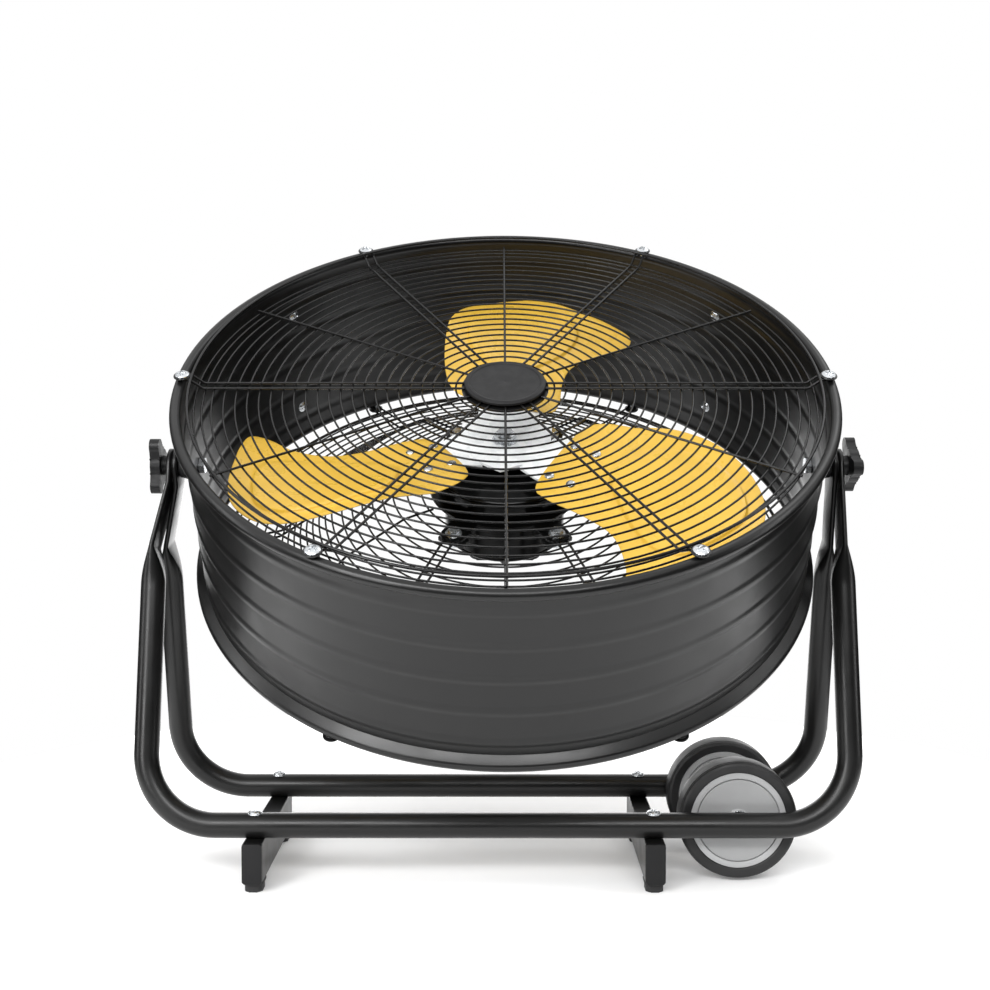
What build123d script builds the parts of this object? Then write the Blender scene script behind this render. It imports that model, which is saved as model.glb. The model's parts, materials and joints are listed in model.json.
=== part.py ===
"""Tilting drum fan on a wheeled stand: bent tube frames, a steel drum with wire guards, a riveted fan.

World frame: millimetres, +Z up, origin on the floor in the middle of the stand, -Y is the front.
Drum frame: the tilt axis is its X axis. Its Z axis is the fan's axis and points out of the front guard.
"""

from build123d import *
import math
import os

os.makedirs("parts", exist_ok=True)

# ---------------------------------------------------------------- driving sizes, mm and degrees
# Fits and clearances
RUN_CLEARANCE = 0.05  # radial, a pin that turns in its hole
SLIP_CLEARANCE = 0.1  # radial, a bolt or spigot in its hole
SEAT_CLEARANCE = 0.02  # radial, a pressed seat
BODY_GAP = 0.3  # between faces of pieces that turn against each other
SCREW_DOME = 0.5  # share of a pan head's height that slopes in

# Stand
PIVOT_CLEARANCE = 91.0  # the tilt axis is this much further from the floor than from the rims' edge
BASE_SPACING = 150.0  # between the two base tubes, centre to centre
TUBE_D = 25.0
FRONT_LEG_OFFSET = 25.0  # from the rims' edge out to the middle of a front leg's tube
REAR_LEG_OFFSET = 19.0
FRAME_BEND_R = 72.0
LEG_FLAT_THICKNESS = 5.0
LEG_FLAT_WIDTH = 35.0
LEG_FLAT_LENGTH = 85.0  # from the pivot down to where the tube starts to open out
LEG_TAPER_LENGTH = 40.0
LEG_EYE_LENGTH = 20.0  # below the pivot, the part of the flattened end that stands square to the bolt
LEG_TOP_GAP = 9.0  # from the rims' edge to a rear leg's flattened end

CROSSBAR_WIDTH = 20.0
CROSSBAR_HEIGHT = 40.0
CROSSBAR_WALL = 1.5
CROSSBAR_OVERHANG = 20.0  # past the middle of each base tube
CROSSBAR_LEFT_INSET = 111.5  # from the middle of the front leg's tube
CROSSBAR_RIGHT_INSET = 199.0
PLUG_FLANGE = 3.0
PLUG_NUT_GAP = 4.2  # from a plug's spigot to the nut inside the crossbar
FOOT_HEIGHT = 10.0
FOOT_LENGTH = 26.0
FOOT_INSET = 15.0  # from the crossbar's end to the middle of the foot
FOOT_STEM_R = 4.0
FOOT_STEM_LENGTH = 6.0

FRAME_SCREW_R = 3.0
FRAME_SCREW_HEAD_R = 6.5
FRAME_SCREW_HEAD = 3.0
FRAME_NUT_R = 5.8  # across the corners
FRAME_NUT = 5.0

# Wheels
WHEEL_INSET = 111.0  # from the middle of the front right leg's tube
WHEEL_R = 60.0
WHEEL_WIDTH = 31.0
WHEEL_RIM_R = 48.4
WHEEL_GROOVE_R = 42.0
WHEEL_GROOVE = 1.5  # width and depth
WHEEL_DISH_R = 12.0  # the hub's raised middle
WHEEL_DISH = 2.0
TYRE_SHOULDER = 6.0
AXLE_R = 5.0
AXLE_NUT_R = 9.5
AXLE_NUT = 8.0
AXLE_END = 3.0  # past its nut
AXLE_WASHER_R = 11.0
AXLE_WASHER = 2.0
AXLE_SPACER_R = 8.0

# Drum
FACE_ELEVATION = 56.5  # of the fan's axis above level, in the rest pose
DRUM_SHIFT = 7.0  # the drum hangs this far to +X of the stand's middle
DRUM_R = 319.0  # outside of the wall
DRUM_WALL = 1.2
DRUM_DEPTH = 211.0
RIM_OVERHANG = 10.0  # the rolled rims stand this far out of the wall
RIM_BEAD_R = 5.5  # the rolled bead has flats, as many as its sides
RIM_BEAD_SIDES = 10
RIM_FLARE = 9.0  # length of wall that opens out to the bead
RIB_COUNT = 5
RIB_PITCH = 38.0
RIB_WIDTH = 12.0
RIB_HEIGHT = 2.5

# Tilt pivots
PIVOT_BOLT_R = 5.0
PIVOT_HEAD_R = 9.0
PIVOT_HEAD = 6.0
PIVOT_BUSH_R = 15.0
PIVOT_PLATE_THICKNESS = 3.0
PIVOT_PLATE_DEPTH = 90.0
PIVOT_PLATE_WIDTH = 64.0
LEG_WASHER_R = 14.0
LEG_WASHER = 1.0
KNOB_LOBES = 3
KNOB_LOBE_R = 8.0
KNOB_LOBE_CIRCLE = 23.5
KNOB_CORE_R = 18.0
KNOB_WEB_FILLET = 5.0
KNOB_THICKNESS = 10.0
KNOB_HUB_R = 10.0
KNOB_HUB = 6.0
KNOB_EDGE = 1.5
KNOB_BORE_DEPTH = 13.0
KNOB_BORE_END = 1.0  # left empty past the bolt's end

# Carrying handles, on the far side of the drum
HANDLE_ANGLES = {"right": 41.0, "left": 139.0}
HANDLE_SPAN = 122.0
HANDLE_REACH = 40.0
HANDLE_BAR_R = 6.5
HANDLE_BEND_R = 15.0
HANDLE_FOOT_R = 8.5
HANDLE_FOOT = 5.0
HANDLE_SCREW_R = 2.5
HANDLE_SCREW_HEAD_R = 5.5
HANDLE_SCREW_HEAD = 2.5
HANDLE_SCREW_BITE = 18.0
HANDLE_BORE_END = 1.0  # left empty past the screw's end

# Wire guards
WIRE = 2.8
GUARD_RING_PITCH = 11.5
GUARD_RING_INNER_R = 49.0
GUARD_RING_GAP = 5.5  # from the outermost ring to the drum's wall
GUARD_RECESS = 9.8  # the front guard's wires lie this far inside the rim's top
SPOKE_PAIR_COUNT = 6
SPOKE_PAIR_GAP = 10.0  # between the two wires of a pair, centre to centre
SPOKE_ROOT_R = 33.0
GUARD_SCREW_INSET = 2.5  # inside the middle of the rolled bead
GUARD_SCREW_R = 2.4
GUARD_SCREW_HEAD_R = 7.0
GUARD_SCREW_HEAD = 3.0
GUARD_SCREW_BITE = 6.0
GUARD_WASHER_R = 8.5
GUARD_WASHER = 1.2
JOGGLE_START = 20.0  # inside the screws' circle, where a hairpin starts to step up over the rim
JOGGLE_END = 8.0
RING_SAG = 1.8  # how far the flats of a bent ring fall inside its circle
RING_MIN_SIDES = 12
BADGE_R = 41.0
BADGE_THICKNESS = 4.5
BADGE_RIM = 3.0

REAR_RING_PITCH = 11.0
REAR_SEAT_Z = -24.0
REAR_WIRE_GAP = 5.0  # from the drum's wall to where the rear spokes reach the rim
REAR_RING_GAP = 8.0  # from there in to the outermost ring

# Motor
MOTOR_R = 70.0
MOTOR_BODY_R = 66.0  # behind the mounting bracket
MOTOR_WALL = 3.0
MOTOR_FRONT_Z = -2.0
MOTOR_REAR_Z = -72.0
MOTOR_COVER_NOSE_R = 24.0
MOTOR_COVER_RISE = 16.0
MOTOR_COVER_SHOULDER_R = 54.0
MOTOR_COVER_SHOULDER = 11.0
MOTOR_REAR_COVER = 7.0
STATOR_BORE_R = 34.0
STATOR_LENGTH = 44.0
STATOR_SLOTS = 12
STATOR_SLOT_WIDTH = 8.0
STATOR_SLOT_DEPTH = 14.0
ROTOR_AIR_GAP = 0.6
SHAFT_R = 7.0
BEARING_R = 16.0
BEARING_WIDTH = 9.0
BRACKET_THICKNESS = 3.0
BRACKET_RING_R = 80.0
BRACKET_BOLT_CIRCLE_R = 103.0
BRACKET_BOLT_ANGLES = (60.0, 120.0, 240.0, 300.0)  # along four of the spoke pairs
BRACKET_ARM_WIDTH = 26.0
BRACKET_BOLT_R = 3.0
BRACKET_BOLT_HEAD_R = 6.0
BRACKET_BOLT_HEAD = 4.0
BRACKET_WASHER_R = 8.5
BRACKET_WASHER = 1.5
BRACKET_NUT = 5.0
CLAMP_LENGTH = 30.0
CLAMP_RING_GAP = 7.5  # from a clamp to the middle of the guard's rings inside and outside it

# Fan
HUB_BOSS_R = 18.0
HUB_BOSS_BASE_Z = 17.0
HUB_PLATE_THICKNESS = 3.0
HUB_PLATE_R = 47.0  # across the flats between the arms
HUB_ARM_HALF_WIDTH = 32.0
HUB_ARM_TWIST_R = 40.0  # the arm's twist starts here
HUB_ARM_FLAT_R = 58.0  # and is complete here
HUB_ARM_R = 106.0
HUB_ARM_CORNER_R = 10.0
HUB_NUT_R = 11.5
HUB_NUT = 8.0
SHAFT_END = 3.0  # past the hub nut
BLADE_COUNT = 3
BLADE_START_ANGLE = 85.0  # angle of the first blade in the rest pose
BLADE_THICKNESS = 1.2
BLADE_ROOT_Z = 33.0
BLADE_CONE = 0.035  # rise per length outside the root
BLADE_SEAT_GAP = 0.3  # paint and sealant between a blade and its arm, and under a rivet head
ROOT_R = 110.0  # the blade starts to twist outside this
MID_SHARE = 0.514  # of the way from the root to the tip, where the middle pitch holds
FAN_GAP = 32.0  # from the blades' tips to the drum's wall
BLADE_SPAN_MARGIN = 3.0  # the uncut sheet is this much longer than the blade
ROOT_ANGLE = 10.9
MID_ANGLE = 13.8
TIP_ANGLE = -2.0
BLADE_CAMBER_R = 790.0
PANEL_RAISE = 0.9
RIVET_R = 2.4
RIVET_HEAD_R = 5.0
RIVET_HEAD = 2.0
RIVET_TAIL_R = 4.0
RIVET_TAIL = 1.0
RIVET_INNER_R = 70.0
RIVET_OUTER_R = 95.0
FIXING_SIDES = 16  # of the small round heads and washers
RIVET_HALF_SPACING = 24.0

# Speed switch, behind the motor
SWITCH_BOX_WIDTH = 76.0
SWITCH_BOX_HEIGHT = 60.0
SWITCH_BOX_DEPTH = 24.0
SWITCH_BOX_ROUND = 8.0
SPEED_KNOB_R = 16.0
SPEED_KNOB_LENGTH = 14.0
SPEED_KNOB_GRIP = 6.0
SPEED_STEM_R = 4.0
SPEED_STEM = 12.0
GLAND_R = 9.0
GLAND_LENGTH = 14.0
GLAND_BORE_R = 4.0

# The blade's outline in shares. The first is outward, from -1 at the axis through 0 at the root to 1 at the tip.
# The second is sideways towards the trailing edge, as a share of the root's radius.
BLADE_OUTLINE = [
    (-0.418, -0.327), (-0.236, -0.464), (0.113, -0.482), (0.328, -0.568), (0.503, -0.836), (0.588, -1.082),
    (0.689, -1.155), (0.78, -0.964), (0.864, -0.691), (0.966, -0.318), (1, 0), (0.921, 0.355),
    (0.757, 0.591), (0.542, 0.705), (0.339, 0.723), (0.051, 0.691), (-0.309, 0.582), (-0.436, 0.364),
]
# The pressed panel's outline inside it
PANEL_OUTLINE = [
    (0.068, 0.073), (0.226, 0.455), (0.537, 0.527), (0.78, 0.382), (0.893, 0.036), (0.768, -0.527),
    (0.576, -0.582), (0.282, -0.309),
]

# ---------------------------------------------------------------- derived places
RIM_R = DRUM_R + RIM_OVERHANG
PIVOT_HEIGHT = RIM_R + PIVOT_CLEARANCE
FRONT_FRAME_WIDTH = 2 * (RIM_R + FRONT_LEG_OFFSET)
REAR_FRAME_WIDTH = 2 * (RIM_R + REAR_LEG_OFFSET)
REAR_TOP_X = RIM_R + LEG_TOP_GAP + LEG_FLAT_THICKNESS / 2  # a flattened end's middle, from the drum's
FRONT_TOP_X = REAR_TOP_X + LEG_FLAT_THICKNESS + LEG_WASHER
CROSSBAR_X = {
    "left": CROSSBAR_LEFT_INSET - FRONT_FRAME_WIDTH / 2,
    "right": FRONT_FRAME_WIDTH / 2 - CROSSBAR_RIGHT_INSET,
}
CROSSBAR_LENGTH = BASE_SPACING + 2 * CROSSBAR_OVERHANG
PLUG_SPIGOT = CROSSBAR_OVERHANG - FRAME_NUT_R - PLUG_NUT_GAP
WHEEL_X = FRONT_FRAME_WIDTH / 2 - WHEEL_INSET
TUBE_R = TUBE_D / 2
BASE_Z = FOOT_HEIGHT + CROSSBAR_HEIGHT + TUBE_R
BASE_Y = BASE_SPACING / 2
LEG_LENGTH = math.hypot(BASE_Y, PIVOT_HEIGHT - BASE_Z)
LEG_LEAN = math.degrees(math.atan2(BASE_Y, PIVOT_HEIGHT - BASE_Z))
DRUM_PLACE = Pos(DRUM_SHIFT, 0, PIVOT_HEIGHT) * Rot(90 - FACE_ELEVATION, 0, 0)
BEAD_CIRCLE_R = RIM_R - RIM_BEAD_R
BEAD_Z = DRUM_DEPTH / 2 - RIM_BEAD_R
RIM_Z = DRUM_DEPTH / 2
DRUM_INNER_R = DRUM_R - DRUM_WALL
PLATE_SEAT_R = DRUM_R + RIB_HEIGHT
GUARD_SCREW_CIRCLE_R = BEAD_CIRCLE_R - GUARD_SCREW_INSET
REAR_RIM_WIRE_R = DRUM_R - REAR_WIRE_GAP
REAR_SEAT_R = BRACKET_BOLT_CIRCLE_R + CLAMP_LENGTH / 4 + CLAMP_RING_GAP  # flat inside this, cone outside
REAR_RING_INNER_R = BRACKET_BOLT_CIRCLE_R - CLAMP_LENGTH / 4 - CLAMP_RING_GAP
FAN_R = DRUM_R - FAN_GAP
GUARD_Z = RIM_Z - GUARD_RECESS  # underside of the front guard's spokes
HUB_Z = BLADE_ROOT_Z - BLADE_THICKNESS / 2 - BLADE_SEAT_GAP  # top of the hub plate
FLOOR_ANCHOR = (Align.CENTER, Align.CENTER, Align.MIN)
HANG_ANCHOR = (Align.CENTER, Align.CENTER, Align.MAX)
SIDES = {"left": -1, "right": 1}

nodes = {}


# ---------------------------------------------------------------- helpers
def group(shapes):
    """Several separate solids that share one node."""
    return Compound(children=[solid for shape in shapes for solid in shape.solids()])


def along_x(shape, outward=1):
    """Turns a shape built up along Z so that it points along +X or -X."""
    return Rot(0, 90 * outward, 0) * shape


def along_y(shape):
    """Turns a shape built up along Z so that it points along +Y."""
    return Rot(-90, 0, 0) * shape


def disc(radius, height, bore=0.0):
    """A washer or plain disc standing on its own origin."""
    solid = Cylinder(radius, height, align=FLOOR_ANCHOR)
    if bore:
        solid -= Cylinder(bore, height, align=FLOOR_ANCHOR)
    return solid


def flat_disc(radius, height, bore=0.0):
    """A small disc with flats round it, so that it has few faces."""
    solid = extrude(RegularPolygon(radius, FIXING_SIDES), height)
    if bore:
        solid -= Cylinder(bore, height, align=FLOOR_ANCHOR)
    return solid


def hexagon(corner_r, height, bore=0.0):
    """A hexagon head or nut standing on its own origin."""
    solid = extrude(RegularPolygon(corner_r, 6), height)
    if bore:
        solid -= Cylinder(bore, height, align=FLOOR_ANCHOR)
    return solid


def pan_screw(shank_r, shank, head_r, head):
    """A pan-head screw: the head's underside is at the origin and the shank points down."""
    dome = flat_disc(head_r, head)
    dome = chamfer(dome.faces().sort_by(Axis.Z)[-1].edges(), head * SCREW_DOME)
    return dome + Cylinder(shank_r, shank, align=HANG_ANCHOR)


def turned(points):
    """A solid of revolution about Z from (radius, z) points."""
    return revolve(make_face(Plane.XZ * Polyline(*points, close=True)), axis=Axis.Z)


def around(shape, count, start=0.0):
    """Copies of a shape, or of a place, turned evenly about Z."""
    return [Rot(0, 0, start + 360 / count * i) * shape for i in range(count)]


def on_drum(shape):
    return DRUM_PLACE * shape


# ---------------------------------------------------------------- stand
def frame_end(tube_x, top_x):
    """A leg's flattened end in the frame's own plane. It leans from the tube over to its eye."""
    def level(x, y):
        return Plane((x, y, 0), x_dir=(1, 0, 0), z_dir=(0, 1, 0))

    round_section = RectangleRounded(TUBE_D, TUBE_D, TUBE_R - 0.01)
    flat_section = RectangleRounded(LEG_FLAT_THICKNESS, LEG_FLAT_WIDTH, LEG_FLAT_THICKNESS / 2 - 0.01)
    tube_end = level(tube_x, -(LEG_FLAT_LENGTH + LEG_TAPER_LENGTH)) * round_section
    flat_end = level(tube_x, -LEG_FLAT_LENGTH) * flat_section
    eye_end = level(top_x, -LEG_EYE_LENGTH) * flat_section
    blade = loft([tube_end, flat_end], ruled=True) + loft([flat_end, eye_end], ruled=True)
    blade += extrude(eye_end, LEG_EYE_LENGTH)
    blade += Pos(top_x, 0, 0) * along_x(Cylinder(LEG_FLAT_WIDTH / 2, LEG_FLAT_THICKNESS))
    return blade - Pos(top_x, 0, 0) * along_x(Cylinder(PIVOT_BOLT_R + RUN_CLEARANCE, TUBE_D))


def bent_frame(width, top_x, lean):
    """One U-shaped tube frame, leaning about the tilt axis and drilled for the crossbars' screws."""
    half = width / 2
    top = -(LEG_FLAT_LENGTH + LEG_TAPER_LENGTH)
    path = FilletPolyline(
        (-half, top), (-half, -LEG_LENGTH), (half, -LEG_LENGTH), (half, top), radius=FRAME_BEND_R
    )
    frame = sweep(Plane(origin=path @ 0, z_dir=path % 0) * Circle(TUBE_R), path=path)
    for side in SIDES.values():
        frame += frame_end(side * half, DRUM_SHIFT + side * top_x)
    frame = Pos(0, 0, PIVOT_HEIGHT) * Rot(90 - lean, 0, 0) * frame
    for x in CROSSBAR_X.values():
        hole = Cylinder(FRAME_SCREW_R + SLIP_CLEARANCE, 2 * TUBE_D)
        frame -= Pos(x, math.copysign(BASE_Y, -lean), BASE_Z) * hole
    return frame


def crossbar(x):
    """A rectangular tube across the base, with holes for the frame screws and the feet."""
    z = FOOT_HEIGHT + CROSSBAR_HEIGHT / 2
    bar = Box(CROSSBAR_WIDTH, CROSSBAR_LENGTH, CROSSBAR_HEIGHT)
    bar -= Box(CROSSBAR_WIDTH - 2 * CROSSBAR_WALL, CROSSBAR_LENGTH, CROSSBAR_HEIGHT - 2 * CROSSBAR_WALL)
    for side in (-1, 1):
        screw_hole = Cylinder(FRAME_SCREW_R + SLIP_CLEARANCE, 2 * CROSSBAR_WALL)
        bar -= Pos(0, side * BASE_Y, CROSSBAR_HEIGHT / 2) * screw_hole
        stem_hole = Cylinder(FOOT_STEM_R + SLIP_CLEARANCE, 2 * CROSSBAR_WALL)
        bar -= Pos(0, side * (CROSSBAR_LENGTH / 2 - FOOT_INSET), -CROSSBAR_HEIGHT / 2) * stem_hole
    return Pos(x, 0, z) * bar


def end_plug(x, side):
    """A plastic plug in one end of a crossbar."""
    inner = CROSSBAR_WALL + SLIP_CLEARANCE
    flange = Box(CROSSBAR_WIDTH, PLUG_FLANGE, CROSSBAR_HEIGHT)
    flange = chamfer(flange.faces().sort_by(Axis.Y)[-1].edges(), 1.0)
    spigot = Box(CROSSBAR_WIDTH - 2 * inner, PLUG_SPIGOT, CROSSBAR_HEIGHT - 2 * inner)
    plug = Pos(0, PLUG_FLANGE / 2, 0) * flange + Pos(0, -PLUG_SPIGOT / 2, 0) * spigot
    plug = Pos(0, CROSSBAR_LENGTH / 2, 0) * plug
    turn = 0 if side > 0 else 180
    return Pos(x, 0, FOOT_HEIGHT + CROSSBAR_HEIGHT / 2) * Rot(0, 0, turn) * plug


def rubber_foot(x, side):
    """A rubber foot with a push-in stem."""
    pad = Box(CROSSBAR_WIDTH, FOOT_LENGTH, FOOT_HEIGHT, align=FLOOR_ANCHOR)
    pad = fillet(pad.edges().filter_by(Axis.Z), 3.0)
    stem = Pos(0, 0, FOOT_HEIGHT) * disc(FOOT_STEM_R, FOOT_STEM_LENGTH)
    return Pos(x, side * (CROSSBAR_LENGTH / 2 - FOOT_INSET), 0) * (pad + stem)


def frame_screw(x, side):
    """A screw down through the base tube into the crossbar's top wall and its nut."""
    shank = TUBE_D + CROSSBAR_WALL + FRAME_NUT + 2.0
    screw = pan_screw(FRAME_SCREW_R, shank, FRAME_SCREW_HEAD_R, FRAME_SCREW_HEAD)
    return Pos(x, side * BASE_Y, BASE_Z + TUBE_R) * screw


def frame_nut(x, side):
    top = FOOT_HEIGHT + CROSSBAR_HEIGHT - CROSSBAR_WALL
    nut = hexagon(FRAME_NUT_R, FRAME_NUT, FRAME_SCREW_R + SEAT_CLEARANCE)
    return Pos(x, side * BASE_Y, top - FRAME_NUT) * nut


def build_stand():
    corners = [(x, side) for x in CROSSBAR_X.values() for side in (-1, 1)]
    axle_hole = Pos(WHEEL_X, -BASE_Y, BASE_Z) * along_y(disc(AXLE_R + SEAT_CLEARANCE, 2 * BASE_SPACING))
    nodes["front_frame"] = bent_frame(FRONT_FRAME_WIDTH, FRONT_TOP_X, LEG_LEAN) - axle_hole
    nodes["rear_frame"] = bent_frame(REAR_FRAME_WIDTH, REAR_TOP_X, -LEG_LEAN) - axle_hole
    for name, x in CROSSBAR_X.items():
        nodes["crossbar_" + name] = crossbar(x)
    nodes["crossbar_end_plugs"] = group([end_plug(*corner) for corner in corners])
    nodes["rubber_feet"] = group([rubber_foot(*corner) for corner in corners])
    nodes["frame_screws"] = group([frame_screw(*corner) for corner in corners])
    nodes["frame_nuts"] = group([frame_nut(*corner) for corner in corners])


# ---------------------------------------------------------------- wheels
def wheel_rim():
    """A moulded wheel centre: a flush disc with a thin groove and a raised hub, turned about Z."""
    half = WHEEL_WIDTH / 2
    face = half - WHEEL_DISH
    rim = Cylinder(WHEEL_RIM_R, 2 * face) + Cylinder(WHEEL_DISH_R, 2 * half)
    groove_outer = WHEEL_GROOVE_R + WHEEL_GROOVE / 2
    groove = disc(groove_outer, WHEEL_GROOVE, groove_outer - WHEEL_GROOVE)
    rim -= Pos(0, 0, face - WHEEL_GROOVE) * groove
    rim -= Pos(0, 0, -face) * groove
    return rim - Cylinder(AXLE_R + RUN_CLEARANCE, WHEEL_WIDTH)


def wheel_tyre():
    """A solid rubber tyre with rounded shoulders, turned about Z."""
    half = WHEEL_WIDTH / 2
    bore = WHEEL_RIM_R + SEAT_CLEARANCE
    corner = TYRE_SHOULDER * (1 - math.sqrt(0.5))
    upper = [(WHEEL_R, half - TYRE_SHOULDER), (WHEEL_R - corner, half - corner)]
    upper.append((WHEEL_R - TYRE_SHOULDER, half))
    lower = [(r, -z) for r, z in reversed(upper)]
    return turned([(bore, half), (bore, -half)] + lower + upper)


def build_wheels():
    """Two wheels on an axle that is set in the front base tube and nutted behind the rear one."""
    tube_face = BASE_Y - TUBE_R
    wheel_y = tube_face - AXLE_WASHER - BODY_GAP - WHEEL_WIDTH / 2
    axle_place = Pos(WHEEL_X, 0, BASE_Z)
    for name, side in {"front": -1, "rear": 1}.items():
        place = axle_place * Pos(0, side * wheel_y, 0)
        nodes["wheel_rim_" + name] = place * along_y(wheel_rim())
        nodes["tyre_" + name] = place * along_y(wheel_tyre())
    outer = BASE_Y + TUBE_R
    rod = disc(AXLE_R, BASE_Y + outer + AXLE_NUT + AXLE_END)
    nodes["wheel_axle"] = axle_place * Pos(0, -BASE_Y, 0) * along_y(rod)
    nut = hexagon(AXLE_NUT_R, AXLE_NUT, AXLE_R + SEAT_CLEARANCE)
    nodes["axle_nut"] = axle_place * Pos(0, outer, 0) * along_y(nut)
    washer = disc(AXLE_WASHER_R, AXLE_WASHER, AXLE_R + SLIP_CLEARANCE)
    washer_starts = (-tube_face, tube_face - AXLE_WASHER)
    nodes["axle_washers"] = group([axle_place * Pos(0, y, 0) * along_y(washer) for y in washer_starts])
    inner = wheel_y - WHEEL_WIDTH / 2 - BODY_GAP
    spacer = disc(AXLE_SPACER_R, 2 * inner, AXLE_R + SLIP_CLEARANCE)
    nodes["axle_spacer"] = axle_place * Pos(0, -inner, 0) * along_y(spacer)


# ---------------------------------------------------------------- drum
def drum_shell():
    """The drum wall with its pressed ribs and a rolled bead round each mouth, turned in one piece."""
    wall_end = BEAD_Z - RIM_FLARE
    outside = [(BEAD_CIRCLE_R, -BEAD_Z), (DRUM_R, -wall_end)]
    for i in range(RIB_COUNT):
        z = (i - (RIB_COUNT - 1) / 2) * RIB_PITCH
        outside += [(DRUM_R, z - RIB_WIDTH / 2), (DRUM_R + RIB_HEIGHT, z), (DRUM_R, z + RIB_WIDTH / 2)]
    outside += [(DRUM_R, wall_end), (BEAD_CIRCLE_R, BEAD_Z)]
    inside = [(BEAD_CIRCLE_R - DRUM_WALL, BEAD_Z), (DRUM_INNER_R, wall_end)]
    inside += [(DRUM_INNER_R, -wall_end), (BEAD_CIRCLE_R - DRUM_WALL, -BEAD_Z)]
    profile = make_face(Plane.XZ * Polyline(*outside, *inside, close=True))
    for z in (-BEAD_Z, BEAD_Z):
        profile += Plane.XZ * Pos(BEAD_CIRCLE_R, z) * RegularPolygon(RIM_BEAD_R, RIM_BEAD_SIDES)
    shell = revolve(profile, axis=Axis.Z)
    shell -= along_x(Cylinder(PIVOT_BOLT_R + SLIP_CLEARANCE, 3 * DRUM_R))
    for angle in HANDLE_ANGLES.values():
        for z in (-HANDLE_SPAN / 2, HANDLE_SPAN / 2):
            hole = Cylinder(HANDLE_SCREW_R + SLIP_CLEARANCE, 8 * RIB_HEIGHT)
            shell -= Rot(0, 0, angle) * Pos(DRUM_R, 0, z) * along_x(hole)
    hole = Cylinder(GUARD_SCREW_R + SLIP_CLEARANCE, GUARD_SCREW_BITE + 1.0, align=HANG_ANCHOR)
    for place in guard_screw_places():
        shell -= place * Pos(0, 0, RIM_Z) * hole
        shell -= Rot(180, 0, 0) * place * Pos(0, 0, RIM_Z) * hole
    return shell


def guard_screw_places():
    return around(Pos(GUARD_SCREW_CIRCLE_R, 0, 0), SPOKE_PAIR_COUNT)


def pivot_plate(side):
    """A saddle plate welded across the ribs where the tilt bolt goes through."""
    outer_r = PLATE_SEAT_R + PIVOT_PLATE_THICKNESS
    shell = Cylinder(outer_r, PIVOT_PLATE_DEPTH) - Cylinder(PLATE_SEAT_R, PIVOT_PLATE_DEPTH)
    window = Box(outer_r, PIVOT_PLATE_WIDTH, PIVOT_PLATE_DEPTH)
    saddle = shell & Pos(side * outer_r, 0, 0) * window
    return saddle - along_x(Cylinder(PIVOT_BOLT_R + SLIP_CLEARANCE, 3 * DRUM_R))


def leg_inner_face(side):
    """Where a rear leg's flattened end faces the drum, as X in the drum frame."""
    return side * (REAR_TOP_X - LEG_FLAT_THICKNESS / 2)


def leg_outer_face(side):
    """Where a front leg's flattened end faces the knob, as X in the drum frame."""
    return side * (FRONT_TOP_X + LEG_FLAT_THICKNESS / 2)


def pivot_bush(side):
    """The sleeve that spaces the drum from the legs. Its root follows the saddle plate."""
    reach = abs(leg_inner_face(side)) - BODY_GAP
    sleeve = along_x(disc(PIVOT_BUSH_R, reach, PIVOT_BOLT_R + SLIP_CLEARANCE), side)
    return sleeve - Cylinder(PLATE_SEAT_R + PIVOT_PLATE_THICKNESS, 4 * PIVOT_BUSH_R)


def pivot_bolt(side):
    """The tilt bolt: its head is inside the drum and its end takes the knob."""
    head_face = math.sqrt(DRUM_INNER_R**2 - PIVOT_HEAD_R**2)
    reach = abs(leg_outer_face(side)) + BODY_GAP + KNOB_BORE_DEPTH - KNOB_BORE_END
    bolt = Pos(0, 0, head_face - PIVOT_HEAD) * hexagon(PIVOT_HEAD_R, PIVOT_HEAD)
    bolt += Pos(0, 0, head_face) * disc(PIVOT_BOLT_R, reach - head_face)
    return along_x(bolt, side)


def carry_handle(angle):
    """A round bar handle along the drum, on two feet shaped to its wall."""
    half = HANDLE_SPAN / 2
    reach = DRUM_R + HANDLE_REACH
    root = DRUM_INNER_R - HANDLE_BAR_R
    path = FilletPolyline(
        (root, 0, -half), (reach, 0, -half), (reach, 0, half), (root, 0, half), radius=HANDLE_BEND_R
    )
    handle = sweep(Plane(origin=path @ 0, z_dir=path % 0) * Circle(HANDLE_BAR_R), path=path)
    for z in (-half, half):
        handle += Pos(root, 0, z) * along_x(disc(HANDLE_FOOT_R, DRUM_R + HANDLE_FOOT - root))
        bore = Cylinder(HANDLE_SCREW_R + SEAT_CLEARANCE, 2 * (HANDLE_SCREW_BITE + HANDLE_BORE_END))
        handle -= Pos(DRUM_R, 0, z) * along_x(bore)
    handle -= Cylinder(DRUM_R, 2 * DRUM_DEPTH)
    return Rot(0, 0, angle) * handle


def handle_screws():
    """The handles' screws, with their heads inside the drum."""
    screw = pan_screw(HANDLE_SCREW_R, DRUM_WALL + HANDLE_SCREW_BITE, HANDLE_SCREW_HEAD_R, HANDLE_SCREW_HEAD)
    head_face = math.sqrt(DRUM_INNER_R**2 - HANDLE_SCREW_HEAD_R**2)
    screws = []
    for angle in HANDLE_ANGLES.values():
        for z in (-HANDLE_SPAN / 2, HANDLE_SPAN / 2):
            screws.append(Rot(0, 0, angle) * Pos(head_face, 0, z) * along_x(screw, -1))
    return group(screws)


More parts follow.
